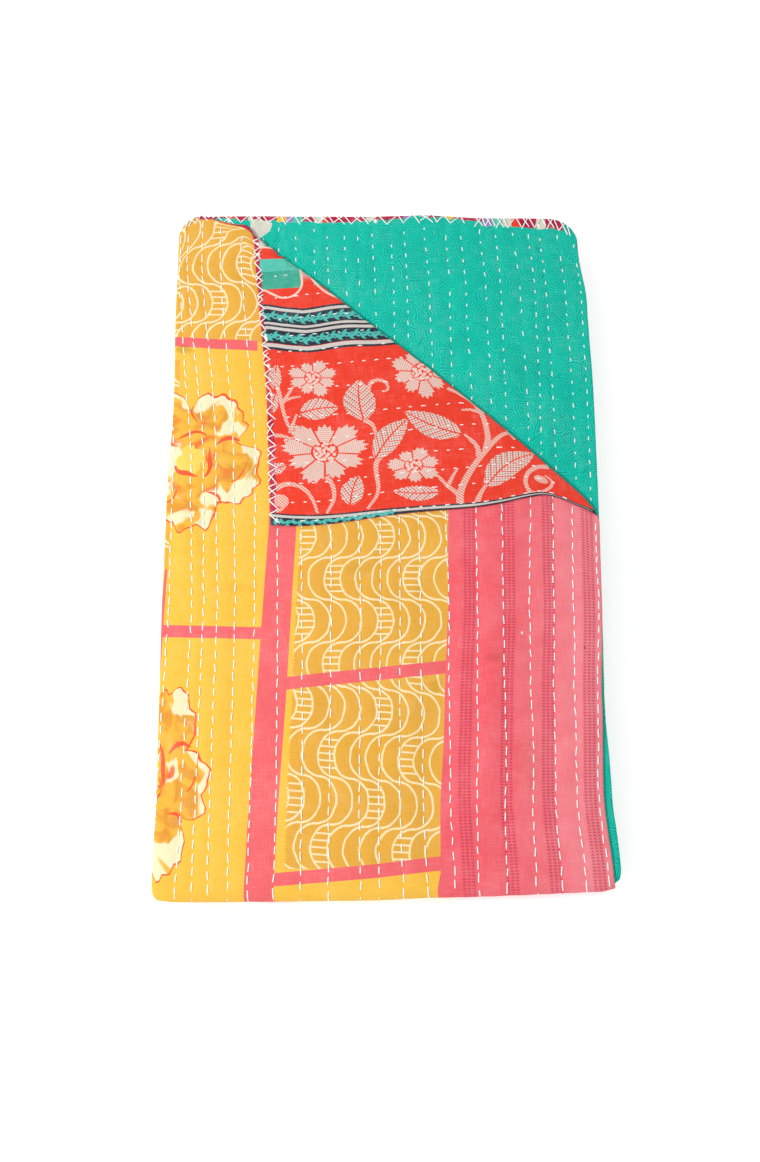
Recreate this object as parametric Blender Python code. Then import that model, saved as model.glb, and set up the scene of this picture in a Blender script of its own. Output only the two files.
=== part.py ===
"""A kantha quilt, folded into a flat packet with one corner of its top leaf turned back.

Blender 4.5, metres, +Z up, origin in the middle of the underside. The quilt is one sheet: layers of
old cotton cloth held together by rows of running stitch. It is folded to a quarter of its width, one
leaf back and forth on the next, and the stack of four leaves is then folded to a quarter of its
length. A flat slab is cut along every crease and stitched row, and each of its points is then moved
to where the folding takes it, so that the folded quilt stays one closed sheet.
"""

import math

import bmesh
import bpy
from mathutils import Vector

# The cloth.
SHEET = 0.0015  # thickness between two stitched rows
ROW_SHEET = 0.0010  # thickness where a row of running stitch draws the layers together
ROW_PITCH = 0.01717
QUILT_COLOUR = (0.90, 0.52, 0.22, 1.0)

# The folding: LEAVES across, then LEAVES along.
LEAVES = 4
LEAF_PITCH = 0.0020  # from one leaf to the next, so leaves lie half a millimetre apart
LEAF_WIDTH = 0.3435  # from the turn of one side fold to the turn of the other
STACK_LENGTH = 0.5460
LEAF_RADIUS = LEAF_PITCH / 2
STACK_RADIUS = LEAVES * LEAF_PITCH / 2
HEAD_OVERHANG = 0.0105  # the head ends reach past the folds under them
LEAF_PERIOD = LEAF_WIDTH + math.pi * LEAF_RADIUS
STACK_PERIOD = STACK_LENGTH + math.pi * STACK_RADIUS
FLAT_WIDTH = LEAVES * LEAF_WIDTH + (LEAVES - 1) * math.pi * LEAF_RADIUS
FLAT_LENGTH = HEAD_OVERHANG + LEAVES * STACK_LENGTH + (LEAVES - 1) * math.pi * STACK_RADIUS
STACK_MIDDLE = (LEAVES - 1) * LEAF_PITCH / 2  # depth of the middle of a stack under its top leaf
TOP_LEVEL = (LEAVES - 1) * 2 * STACK_RADIUS + STACK_MIDDLE + SHEET / 2
RIGHT_TURN = 0.1700  # x where a leaf leaves its right fold, or ends at the free side edge
LEFT_TURN = RIGHT_TURN - LEAF_WIDTH
HEAD_TURN = 0.2715  # y of the turn of the head folds
HEAD_END = HEAD_TURN + HEAD_OVERHANG

# The packet's sides. Each row is a place along it: y, the turn of the left folds, the turn of the
# right folds, and the free side edge of the top leaf.
OUTLINE = (
    # y, left, right, side
    (-0.2820, -0.1715, 0.1740, 0.1695),
    (-0.2050, -0.1740, 0.1735, 0.1675),
    (-0.1350, -0.1760, 0.1695, 0.1685),
    (-0.0550, -0.1768, 0.1690, 0.1702),
    (0.0300, -0.1755, 0.1690, 0.1705),
    (0.1150, -0.1742, 0.1696, 0.1705),
    (0.2050, -0.1750, 0.1680, 0.1690),
    (0.2820, -0.1745, 0.1655, 0.1670),
)
# The round corners of the packet, as (side, end, radius).
CORNERS = ((-1, 1, 0.022), (1, 1, 0.026), (-1, -1, 0.013), (1, -1, 0.010))
CORNER_REACH = 0.080  # length over which a round corner eases into the packet
LOWER_INSET = (0.0030, 0.0040)  # most that a lower stack lies inside the top one, across and along
LUMP = 0.015  # share of the height by which the packet rises and sinks
EDGE_DROP = 0.030  # share of the height lost at the packet's rim
EDGE_REACH = 0.060

# The corner of the top leaf, turned back along a crease from CREASE_HEAD to CREASE_SIDE.
CREASE_HEAD = Vector((-0.1360, HEAD_END))
CREASE_SIDE = Vector((0.1700, 0.0230))
CREASE_ALONG = (CREASE_SIDE - CREASE_HEAD).normalized()
CREASE_ACROSS = Vector((-CREASE_ALONG.y, CREASE_ALONG.x))
CREASE_RADIUS = 0.0010
FLAP_SKEW = 0.1325  # the flap leans towards the head by this share of its depth
FLAP_DRAW = 0.902  # and is drawn in to this share of it
END_SLIP = 0.024  # the head end slides this far down the crease where it meets it
END_SLIP_FADE = 0.060
END_SLIP_WIDTH = 0.024
# The hem along the flap's lower edge waves, as (x, width, height) of each swell.
FLAP_WAVES = ((-0.062, 0.060, -0.0085), (0.133, 0.042, 0.0080))
FLAP_WAVE_REACH = 0.120

# How finely the slab is cut.
FOLD_STEPS = 4
STACK_FOLD_STEPS = 6
LEAF_CUTS = (0.011, 0.045)  # from the turns at both sides of a leaf
CORNER_CUT = 0.003  # the same, only near the packet's ends, for its round corners
STACK_CUTS = (0.020, 0.080, 0.175)  # from the turns at both ends of a stack
BARED_LENGTH = STACK_LENGTH / 2  # how far down the turned corner bares the second leaf


def ease(share):
    """A soft step from 0 to 1."""
    share = min(max(share, 0.0), 1.0)
    return share * share * (3 - 2 * share)


def swell(x, middle, width):
    """A soft bump of height 1."""
    return math.exp(-(((x - middle) / width) ** 2))


def outline(y, column):
    """One column of OUTLINE at y."""
    for low, high in zip(OUTLINE, OUTLINE[1:]):
        if y <= high[0]:
            break
    share = ease((y - low[0]) / (high[0] - low[0]))
    return low[column] + (high[column] - low[column]) * share


def zigzag(run, offset, panel, radius):
    """A sheet that runs back and forth: (reach, depth) of the point at run along it, offset off it."""
    fold = min(max(int(run // (panel + math.pi * radius)), 0), LEAVES - 1)
    local = run - fold * (panel + math.pi * radius)
    side = 1 if fold % 2 == 0 else -1
    turn = max(local - panel, 0.0) / radius
    flat = min(local, panel) if side > 0 else panel - min(local, panel)
    arm = radius - side * offset
    depth = (2 * fold + 1) * radius - arm * math.cos(turn)
    return flat + side * arm * math.sin(turn), depth


def row_share(u):
    """How near u lies to a row of stitches: 1 on it, 0 half way to the next."""
    return 0.5 - 0.5 * math.cos(2 * math.pi * u / ROW_PITCH)


def is_top_leaf(u, v):
    return v <= STACK_LENGTH and u <= LEAF_WIDTH


def is_shown(u, v):
    """Whether the flat point is on the top leaf, or on the part of the next that the corner bares."""
    bared = v <= BARED_LENGTH and u <= LEAF_PERIOD + LEAF_WIDTH
    return bared or is_top_leaf(u, v)


def turned_corner(x, y, level, up):
    """Turns back what lies beyond the crease: its point in the packet's plane, and its height."""
    from_head = Vector((x, y)) - CREASE_HEAD
    along = from_head.dot(CREASE_ALONG)
    across = from_head.dot(CREASE_ACROSS)
    slip = END_SLIP * math.exp(-along / END_SLIP_FADE)
    along += slip * (1 - ease(-across / END_SLIP_WIDTH))
    height = level + up
    wave = 0.0
    if across > 0:
        along -= FLAP_SKEW * across
        across *= FLAP_DRAW
        turn = min(across / CREASE_RADIUS, math.pi)
        arm = CREASE_RADIUS - up
        height = level + CREASE_RADIUS - arm * math.cos(turn)
        across = arm * math.sin(turn) - max(across - math.pi * CREASE_RADIUS, 0.0)
        wave = 1.0
    place = CREASE_HEAD + along * CREASE_ALONG + across * CREASE_ACROSS
    if wave:
        near_hem = ease(1 - (place.y - CREASE_SIDE.y) / FLAP_WAVE_REACH)
        rise = sum(tall * swell(place.x, middle, width) for middle, width, tall in FLAP_WAVES)
        place.y += rise * near_hem * ease(-across / 0.030)
    return place.x, place.y, height


def settled(x, y, z, top_leaf):
    """The packet as it lies: uneven sides, round corners, lower stacks a little in, a soft top."""
    share = (x - LEFT_TURN) / LEAF_WIDTH
    left = outline(y, 1)
    right = outline(y, 3 if top_leaf else 2)
    x = left + (right - left) * share
    outer = LEAF_RADIUS + SHEET / 2
    inside = min(x - left, outline(y, 2) - x) + outer
    for side, end, radius in CORNERS:
        if x * side > 0 and y * end > 0:
            short = radius - min(max(inside, 0.0), radius)
            drop = radius - math.sqrt(radius * radius - short * short)
            y -= end * drop * ease((abs(y) - HEAD_TURN) / CORNER_REACH + 1)
    under = ease((TOP_LEVEL - STACK_RADIUS + STACK_MIDDLE - z) / (2 * STACK_RADIUS))
    x *= 1 - under * LOWER_INSET[0] / RIGHT_TURN * (0.5 + 0.5 * math.sin(330 * z + 0.6))
    y *= 1 - under * LOWER_INSET[1] / HEAD_TURN * (0.5 + 0.5 * math.sin(230 * z + 2.1))
    rim = min(inside, HEAD_END - abs(y))
    lump = math.sin(14 * x + 5 * y + 0.7) * math.cos(11 * y - 4 * x + 0.4)
    z *= 1 + LUMP * lump - EDGE_DROP * (1 - ease(rim / EDGE_REACH))
    return Vector((x, y, z))


def folded(u, v, up):
    """Where the folding takes the point of the flat quilt at u across, v along and up off its middle."""
    if is_shown(u, v):
        up *= 1 - (1 - ROW_SHEET / SHEET) * row_share(u)
    reach, depth = zigzag(u, -up, LEAF_WIDTH, LEAF_RADIUS)
    x = RIGHT_TURN - reach
    reach, depth = zigzag(v, depth - STACK_MIDDLE, STACK_LENGTH, STACK_RADIUS)
    y = HEAD_TURN - reach
    z = TOP_LEVEL - depth
    if is_top_leaf(u, v):
        x, y, z = turned_corner(x, y, z - up, up)
    return settled(x, y, z, is_top_leaf(u, v))


def cut(bm, place, across, wanted=None):
    """Cuts the slab along a line in its plane, through the faces that wanted(u, v) accepts."""
    faces = []
    for face in bm.faces:
        middle = face.calc_center_median()
        if wanted is None or wanted(middle.x, middle.y):
            faces.append(face)
    edges = {edge for face in faces for edge in face.edges}
    corners = {corner for face in faces for corner in face.verts}
    geometry = [*corners, *edges, *faces]
    bmesh.ops.bisect_plane(bm, geom=geometry, dist=1e-7, plane_co=place, plane_no=across)


def cut_across(bm, u, wanted=None):
    cut(bm, (u, 0, 0), (1, 0, 0), wanted)


def cut_along(bm, v, wanted=None):
    cut(bm, (0, v, 0), (0, 1, 0), wanted)


def cut_folds(bm):
    """The turns of every fold, across and along."""
    for leaf in range(LEAVES - 1):
        for step in range(FOLD_STEPS + 1):
            angle = math.pi * step / FOLD_STEPS
            cut_across(bm, leaf * LEAF_PERIOD + LEAF_WIDTH + angle * LEAF_RADIUS)
        for step in range(STACK_FOLD_STEPS + 1):
            angle = math.pi * step / STACK_FOLD_STEPS
            cut_along(bm, leaf * STACK_PERIOD + STACK_LENGTH + angle * STACK_RADIUS)


def cut_leaves(bm):
    """Lines along each leaf and across each stack, close together where the packet's rim is round."""

    def near_end(u, v):
        return not STACK_CUTS[0] < v % STACK_PERIOD < STACK_LENGTH - STACK_CUTS[0]

    for leaf in range(LEAVES):
        start = leaf * STACK_PERIOD
        for inset in STACK_CUTS:
            cut_along(bm, start + inset)
            cut_along(bm, start + STACK_LENGTH - inset)
        cut_along(bm, start + STACK_LENGTH / 2)
        start = leaf * LEAF_PERIOD
        for inset in LEAF_CUTS:
            cut_across(bm, start + inset)
            cut_across(bm, start + LEAF_WIDTH - inset)
        cut_across(bm, start + LEAF_WIDTH / 2)
        cut_across(bm, start + CORNER_CUT, near_end)
        cut_across(bm, start + LEAF_WIDTH - CORNER_CUT, near_end)


def cut_rows(bm):
    """A line on each stitched row and one half way to the next, on the two leaves that show."""
    for half in range(1, int(2 * (LEAF_PERIOD + LEAF_WIDTH) / ROW_PITCH)):
        u = half * ROW_PITCH / 2
        if not LEAF_WIDTH < u < LEAF_PERIOD:
            cut_across(bm, u, is_shown)


def cut_crease(bm):
    """The turn of the corner that is folded back."""
    across = (-CREASE_ACROSS.x, -CREASE_ACROSS.y, 0)
    for step in range(FOLD_STEPS + 1):
        beyond = CREASE_RADIUS * math.pi * step / FOLD_STEPS / FLAP_DRAW
        place = CREASE_HEAD + beyond * CREASE_ACROSS
        cut(bm, (RIGHT_TURN - place.x, HEAD_TURN - place.y, 0), across, is_top_leaf)


def cloth_material():
    material = bpy.data.materials.new("patchwork_cotton")
    material.use_nodes = True
    shader = material.node_tree.nodes["Principled BSDF"]
    shader.inputs["Base Color"].default_value = QUILT_COLOUR
    shader.inputs["Roughness"].default_value = 0.85
    shader.inputs["Metallic"].default_value = 0.0
    return material


def make_quilt(collection):
    """The slab, cut along its creases and rows, folded, and centred over its origin."""
    bm = bmesh.new()
    bmesh.ops.create_cube(bm, size=1.0)
    bmesh.ops.scale(bm, vec=(FLAT_WIDTH, FLAT_LENGTH, SHEET), verts=bm.verts)
    middle = (FLAT_WIDTH / 2, FLAT_LENGTH / 2 - HEAD_OVERHANG, 0)
    bmesh.ops.translate(bm, vec=middle, verts=bm.verts)
    cut_folds(bm)
    cut_leaves(bm)
    cut_rows(bm)
    cut_crease(bm)
    for vertex in bm.verts:
        vertex.co = folded(*vertex.co)
    bmesh.ops.triangulate(bm, faces=bm.faces[:])
    lows = [min(vertex.co[axis] for vertex in bm.verts) for axis in range(2)]
    highs = [max(vertex.co[axis] for vertex in bm.verts) for axis in range(2)]
    centre = (-(lows[0] + highs[0]) / 2, -(lows[1] + highs[1]) / 2, 0)
    bmesh.ops.translate(bm, vec=centre, verts=bm.verts)
    mesh = bpy.data.meshes.new("quilt")
    bm.to_mesh(mesh)
    bm.free()
    mesh.materials.append(cloth_material())
    quilt = bpy.data.objects.new("quilt", mesh)
    collection.objects.link(quilt)
    print(f"quilt: {len(mesh.polygons)} triangles, moved by {centre[0]:.5f}, {centre[1]:.5f}")
    print(f"flat size {FLAT_WIDTH:.3f} x {FLAT_LENGTH:.3f} m")


def main():
    for thing in list(bpy.data.objects):
        bpy.data.objects.remove(thing, do_unlink=True)
    collection = bpy.data.collections.new("kantha_quilt")
    bpy.context.scene.collection.children.link(collection)
    make_quilt(collection)


main()
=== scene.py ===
# %% [markdown]
# # A folded kantha quilt
# A kantha quilt is a few thin, worn printed cottons laid on each other and held together with long
# rows of running stitch. This one is folded in four across and in four along, and one corner of its
# top leaf is turned back, so that three different prints show. The lesson builds it as a sewer
# would see it: the whole sheet is first drafted flat, front and back, and only then folded.
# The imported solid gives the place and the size, so it is loaded before anything else.

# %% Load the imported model
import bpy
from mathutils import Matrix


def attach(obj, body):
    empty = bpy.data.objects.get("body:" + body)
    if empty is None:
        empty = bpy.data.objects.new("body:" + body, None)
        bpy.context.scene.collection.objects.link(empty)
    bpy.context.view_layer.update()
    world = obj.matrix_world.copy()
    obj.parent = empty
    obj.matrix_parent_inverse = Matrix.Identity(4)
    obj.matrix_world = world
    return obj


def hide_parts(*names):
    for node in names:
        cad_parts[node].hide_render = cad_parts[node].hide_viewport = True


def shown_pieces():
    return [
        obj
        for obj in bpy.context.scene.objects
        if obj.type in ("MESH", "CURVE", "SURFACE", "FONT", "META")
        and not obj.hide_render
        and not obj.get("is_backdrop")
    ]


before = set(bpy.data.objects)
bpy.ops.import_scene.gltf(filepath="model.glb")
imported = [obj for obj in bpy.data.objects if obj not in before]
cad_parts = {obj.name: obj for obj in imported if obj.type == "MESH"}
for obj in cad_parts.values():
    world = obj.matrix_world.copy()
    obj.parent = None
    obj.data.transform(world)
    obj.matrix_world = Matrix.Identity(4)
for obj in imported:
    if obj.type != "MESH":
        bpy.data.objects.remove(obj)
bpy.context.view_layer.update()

import math

import bpy
import numpy as np
from mathutils import Vector
from mathutils.geometry import delaunay_2d_cdt

PI, MM = math.pi, 0.001

# %% [markdown]
# ## The fold
# Folding doesn't stretch cloth, so a fold is a map from the flat sheet to space. The sheet runs flat
# for one leaf, goes round a half circle, and runs back one leaf higher or lower. The same zigzag is
# used twice, first across and then along. A simulation could press a sheet into this packet too,
# but a map keeps every stitch and print in its place, which matters more here than random slack.
# `u` is measured from the free side edge, `v` from the first head fold line and `up` from the
# middle of the cloth towards its front face, all in metres.

# %% Sizes of the folded packet
LEAVES = 4
LEAF_PITCH, SHEET = 0.0020, 0.0015
LEAF_WIDTH, STACK_LENGTH, HEAD_OVERHANG = 0.3435, 0.5460, 0.0105
LEAF_RADIUS, STACK_RADIUS = LEAF_PITCH / 2, LEAVES * LEAF_PITCH / 2
LEAF_TURN, STACK_TURN = PI * LEAF_RADIUS, PI * STACK_RADIUS
LEAF_PERIOD, STACK_PERIOD = LEAF_WIDTH + LEAF_TURN, STACK_LENGTH + STACK_TURN
FLAT_WIDTH = LEAVES * LEAF_PERIOD - LEAF_TURN
FLAT_END = LEAVES * STACK_PERIOD - STACK_TURN
STACK_MIDDLE = (LEAVES - 1) * LEAF_RADIUS
TOP_LEVEL = (LEAVES - 1) * 2 * STACK_RADIUS + STACK_MIDDLE + SHEET / 2
RIGHT_TURN, HEAD_TURN = 0.1700, 0.2715
HEAD_END = HEAD_TURN + HEAD_OVERHANG
PACKED_SHIFT = np.array((0.00117, -0.00021, 0.0))
LEAF_MM, STACK_MM, PERIOD_MM = LEAF_WIDTH / MM, STACK_LENGTH / MM, STACK_PERIOD / MM
U_END, V_START, V_END = FLAT_WIDTH / MM, -HEAD_OVERHANG / MM, FLAT_END / MM

# %% The zigzag and the soft steps it uses
def ease(share):
    share = np.clip(share, 0, 1)
    return share * share * (3 - 2 * share)


def swell(x, middle, width):
    return np.exp(-(((x - middle) / width) ** 2))


def read_off(table, x, column=1):
    """A column of a table at x, which runs down the table's first column."""
    return np.interp(x, table[:, 0], table[:, column])


def paired(a, b):
    """Two sets of values side by side, of which either may be a single number."""
    return np.stack(np.broadcast_arrays(a, b), -1)


def square_to(way):
    """The directions a quarter turn to the left of these."""
    return paired(-way[..., 1], way[..., 0])


def zigzag(run, offset, panel, radius):
    """Where a point at `run` along the strip, `offset` off its middle, comes to lie: (along, depth)."""
    period = panel + PI * radius
    fold = np.clip(run // period, 0, LEAVES - 1)
    local = run - fold * period
    side = np.where(fold % 2 == 0, 1, -1)
    turn = np.maximum(local - panel, 0) / radius
    flat = np.minimum(local, panel)
    flat = np.where(side > 0, flat, panel - flat)
    arm = radius - side * offset
    return flat + side * arm * np.sin(turn), (2 * fold + 1) * radius - arm * np.cos(turn)


# %% [markdown]
# The top leaf's corner is turned over along a slanting crease. A point past the crease goes round a
# tight half circle and comes to lie face down on its own leaf, a little skewed and drawn in, with
# two slow waves in its lower hem. Cloth never creases dead straight, so one table gives the crease
# its sag and another draws the whipped head hem in, and both fade away into the leaf.

# %% The turned corner
HEAD, SIDE = np.array((-0.1360, HEAD_END)), np.array((0.1700, 0.0230))
ALONG = (SIDE - HEAD) / np.linalg.norm(SIDE - HEAD)
ACROSS = square_to(ALONG)
CREASE_RADIUS, FLAP_SKEW, FLAP_DRAW = 0.0010, 0.1325, 0.902
END_SLIP, END_SLIP_FADE, END_SLIP_WIDTH = 0.024, 0.060, 0.013
FLAP_WAVES = ((-0.062, 0.060, -0.0085), (0.137, 0.042, 0.0100))
FLAP_WAVE_REACH, FLAP_WAVE_RISE = 0.120, 0.030
CREASE_SAG_FADE, HEM_SLACK_FADE = 0.040, 0.034
CREASE_SAG = np.array((
    # x, how far the crease and the cloth near it hang towards the foot there
    (-0.1500, 0.0), (-0.1360, -0.0018), (-0.1273, -0.0043), (-0.1180, -0.0066), (-0.1083, -0.0008),
    (-0.0850, -0.0017), (-0.0600, -0.0025), (0.0420, -0.0036), (0.0780, -0.0028), (0.1090, -0.0015),
    (0.1370, 0.0015), (0.1500, 0.0028), (0.1580, 0.0044), (0.1650, 0.0075), (0.1710, 0.0112),
    (0.1780, 0.0130),
))
HEM_SLACK = np.array((
    # u, how far the turned head hem is drawn in there
    (0.000, -0.0005), (0.044, 0.0030), (0.091, 0.0060), (0.146, 0.0093), (0.186, 0.0108),
    (0.226, 0.0108), (0.276, 0.0090), (0.286, 0.0080), (0.296, 0.0045), (0.306, 0.0),
))


def drawn_in(u, v):
    """v once the turned head hem has been drawn in."""
    return v + read_off(HEM_SLACK, u) * np.exp(-(v + HEAD_OVERHANG) / HEM_SLACK_FADE)


def past_crease(x, y):
    return (x - HEAD[0]) * ACROSS[0] + (y - HEAD[1]) * ACROSS[1]


def turned_corner(x, y, level, up):
    along = (x - HEAD[0]) * ALONG[0] + (y - HEAD[1]) * ALONG[1]
    across = past_crease(x, y)
    along = along + END_SLIP * np.exp(-along / END_SLIP_FADE) * (1 - ease(-across / END_SLIP_WIDTH))
    over = across > 0
    along = np.where(over, along - FLAP_SKEW * across, along)
    far = across * FLAP_DRAW
    turn = np.clip(far / CREASE_RADIUS, 0, PI)
    arm = CREASE_RADIUS - up
    height = np.where(over, level + CREASE_RADIUS - arm * np.cos(turn), level + up)
    across = np.where(over, arm * np.sin(turn) - np.maximum(far - PI * CREASE_RADIUS, 0), across)
    x = HEAD[0] + along * ALONG[0] + across * ACROSS[0]
    y = HEAD[1] + along * ALONG[1] + across * ACROSS[1]
    near = ease(1 - (y - SIDE[1]) / FLAP_WAVE_REACH) * ease(-across / FLAP_WAVE_RISE)
    rise = sum(wave * swell(x, middle, width) for middle, width, wave in FLAP_WAVES)
    sag = read_off(CREASE_SAG, x) * np.exp(-(across / CREASE_SAG_FADE) ** 2)
    return x, np.where(over, y + rise * near, y) - sag, height


# %% [markdown]
# The packet's sides aren't straight either. One table says where the left, right and top-leaf right
# edges lie at eight stations along the packet, and one how far the head and foot edges stand out.
# The corners are rounded, and low lumps and thinner rims keep the packet from looking like a board.

# %% The uneven sides, round corners and low lumps
OUTLINE = np.array((
    # y, left, right, right of the top leaf
    (-0.2820, -0.1752, 0.1763, 0.1718), (-0.2050, -0.1745, 0.1716, 0.1664),
    (-0.1350, -0.1750, 0.1690, 0.1681), (-0.0550, -0.1759, 0.1700, 0.1712),
    (0.0300, -0.1755, 0.1707, 0.1720), (0.1150, -0.1731, 0.1706, 0.1708),
    (0.2050, -0.1745, 0.1682, 0.1690), (0.2820, -0.1745, 0.1622, 0.1640),
))
END_RISES = np.array((
    # x, how far the head edge stands out there, and the foot edge
    (-0.170, 0.0018, 0.0045), (-0.100, 0.0024, 0.0042), (-0.010, 0.0022, 0.0032),
    (0.035, 0.0037, 0.0012), (0.075, 0.0008, 0.0004), (0.172, -0.0010, -0.0036),
))
END_RISE_START, END_RISE_REACH = 0.12, 0.15
CORNERS = ((-1, 1, 0.023), (1, 1, 0.024), (-1, -1, 0.009), (1, -1, 0.012))
CORNER_REACH = 0.080
LOWER_INSET = (0.0030, 0.0040)
LUMP, EDGE_DROP, EDGE_REACH = 0.015, 0.030, 0.060


def outline(y, column):
    row = np.clip(np.searchsorted(OUTLINE[:, 0], y) - 1, 0, len(OUTLINE) - 2)
    low, high = OUTLINE[row], OUTLINE[row + 1]
    share = ease((y - low[:, 0]) / (high[:, 0] - low[:, 0]))
    return low[:, column] + (high[:, column] - low[:, column]) * share


def settled(x, y, z, top):
    share = (x - RIGHT_TURN + LEAF_WIDTH) / LEAF_WIDTH
    left, lower_right = outline(y, 1), outline(y, 2)
    right = lower_right + (outline(y, 3) - lower_right) * top
    x = left + (right - left) * share
    inside = np.minimum(x - left, lower_right - x) + LEAF_RADIUS + SHEET / 2
    for side, end, radius in CORNERS:
        here = (x * side > 0) & (y * end > 0)
        short = radius - np.clip(inside, 0, radius)
        drop = radius - np.sqrt(radius**2 - short**2)
        y = np.where(here, y - end * drop * ease((np.abs(y) - HEAD_TURN) / CORNER_REACH + 1), y)
    for end, column in ((1, 1), (-1, 2)):
        y = y + end * read_off(END_RISES, x, column) * ease((end * y - END_RISE_START) / END_RISE_REACH)
    under = ease((TOP_LEVEL - STACK_RADIUS + STACK_MIDDLE - z) / (2 * STACK_RADIUS))
    x = x * (1 - under * LOWER_INSET[0] / RIGHT_TURN * (0.5 + 0.5 * np.sin(330 * z + 0.6)))
    y = y * (1 - under * LOWER_INSET[1] / HEAD_TURN * (0.5 + 0.5 * np.sin(230 * z + 2.1)))
    rim = np.minimum(inside, HEAD_END - np.abs(y))
    lump = np.sin(14 * x + 5 * y + 0.7) * np.cos(11 * y - 4 * x + 0.4)
    z = z * (1 + LUMP * lump - EDGE_DROP * (1 - ease(rim / EDGE_REACH)))
    return np.stack([x, y, z], -1)


def folded(u, v, up):
    """The folded place of flat points. `up` is their height off the middle of the cloth."""
    turned = (v <= STACK_LENGTH) & (u <= LEAF_WIDTH)
    v = drawn_in(u, v)
    reach, depth = zigzag(u, -up, LEAF_WIDTH, LEAF_RADIUS)
    x = RIGHT_TURN - reach
    reach, depth = zigzag(v, depth - STACK_MIDDLE, STACK_LENGTH, STACK_RADIUS)
    y, z = HEAD_TURN - reach, TOP_LEVEL - depth
    corner = turned_corner(x, y, z - up, up)
    x, y, z = (np.where(turned, new, old) for new, old in zip(corner, (x, y, z)))
    on_top = ease(1 - (v - STACK_LENGTH) / STACK_TURN) * ease(1 - (u - LEAF_WIDTH) / LEAF_TURN)
    return settled(x, y, z, on_top) + PACKED_SHIFT


# %% [markdown]
# ## The rows of running stitch
# The rows were sewn by eye, so they wander, and the eye picks that up at once. The twenty rows of
# the top leaf are placed one by one at six stations along it. The second leaf's rows are placed once
# each, and the rest follow an even pitch, all with a slow wander. Every print, thread and hollow
# below is placed against these same rows.

# %% Row places across the sheet, in millimetres
ROW_STATIONS = (40, 145, 206, 326, 463, 547)
TOP_LEAF_ROWS = np.array((
    # u of each row at the six stations, from the side edge inwards
    (4.5, 4.5, 4, 2.5, 4, 4), (22, 22.5, 21, 22.5, 20.5, 21), (39, 38, 36.5, 38, 36.5, 39),
    (57, 55.5, 53.5, 57, 53.5, 58), (78, 78, 77.5, 77.5, 74.5, 80), (99, 99, 99, 97.5, 97, 101),
    (125, 124.5, 124, 120, 118, 118.5), (147, 146, 145, 142, 139, 139),
    (162, 161, 160, 158, 157, 157), (177, 176, 175, 173, 173, 175), (195, 194, 193, 189, 188, 189),
    (217, 216, 215, 212, 211, 213), (240, 240, 239, 235, 232, 234), (270, 262, 257, 254, 252, 254),
    (290.5, 281, 275, 272, 272, 273), (308.5, 299, 293, 287, 288, 288),
    (324, 313, 307, 301, 303, 303), (336.5, 325, 317, 312, 314, 315),
    (343, 335, 327, 321, 325, 327), (356, 348, 341, 339, 344, 345),
))
SECOND_LEAF_ROWS = np.array((
    369.5, 385, 401, 417, 432, 447, 461, 475, 488, 500, 514, 527.5, 541.5, 558.5, 575.5, 591, 605.5,
    620, 636, 647, 659, 673, 687))
OTHER_ROWS = 706.5 + 17.2 * np.arange(40)
ROW_WANDER, ROW_WANDER_LENGTH = 1.3, 110.0
ROWS = len(TOP_LEAF_ROWS) + len(SECOND_LEAF_ROWS) + len(OTHER_ROWS)


def row_places(v):
    """The u of every row at each v, both in millimetres: one line of the result for each v."""
    v = np.atleast_1d(v)
    placed_rows = [np.interp(v, ROW_STATIONS, row) for row in TOP_LEAF_ROWS]
    even = np.concatenate([SECOND_LEAF_ROWS, OTHER_ROWS])
    wander = ROW_WANDER * np.sin(v[:, None] / ROW_WANDER_LENGTH + 2.4 * np.arange(len(even)))
    return np.concatenate([np.stack(placed_rows, -1), even + wander], 1)


def beside_rows(u, v):
    """How far each point lies from the nearest row, and how far along from one row to the next."""
    near, share = np.empty(len(u)), np.empty(len(u))
    for start in range(0, len(u), 20000):
        part = slice(start, start + 20000)
        places = row_places(v[part])
        after = np.clip((places < u[part, None]).sum(1), 1, ROWS - 1)
        line = np.arange(len(after))
        low, high = places[line, after - 1], places[line, after]
        near[part] = np.minimum(np.abs(u[part] - low), np.abs(high - u[part]))
        share[part] = np.clip((u[part] - low) / (high - low), 0, 1)
    return near, share


print(ROWS, "rows of running stitch, about", round(FLAT_WIDTH / MM / ROWS, 1), "mm apart")

# %% [markdown]
# ## Drafting the cloth flat
# Old saris and block prints give this quilt its pieces. A printed picture could be mapped on the
# sheet, but then its edges would blur close up. Here each plain area, bar, petal and leaf is a patch
# with its own outline, drawn in millimetres on the flat front or back, and later patches lie over
# earlier ones as in paint. Only fine repeats such as hatching are left to the shaders. A patch may
# carry a `local`, which turns flat places into the patch's own, for a pattern that follows it.

# %% The list of patches for each side, and outlines made from lines
FRONT, BACK = [], []
WHOLE = ((0, V_START), (U_END, V_START), (U_END, V_END), (0, V_END))


def patch(side, finish, points, local=None):
    side.append((finish, np.array(points, float), local))


def enclosed(first, second):
    """The outline between two lines that run the same way."""
    return np.concatenate([first, second[::-1]])


def banded(path, half):
    """The outline of a band along a path, from its half width at each point."""
    way = np.gradient(path, axis=0)
    side = square_to(way) / np.linalg.norm(way, axis=1)[:, None] * half[:, None]
    return enclosed(path + side, path - side)


def round_about(angle, reach=1.0):
    return paired(np.cos(angle), np.sin(angle)) * reach


def whole_turn(points):
    return np.linspace(0, 2 * PI, points, endpoint=False)


def along_line(line, v):
    """u at v on a line given as (v, u) stations."""
    return read_off(np.array(line, float), v)


def strip(line_a, line_b, v_low, v_high):
    """The outline of the strip between two lines that run along the cloth."""
    v = np.linspace(v_low, v_high, max(2, int((v_high - v_low) / 6.0) + 1))
    return enclosed(*(paired(along_line(line, v), v) for line in (line_a, line_b)))


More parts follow.
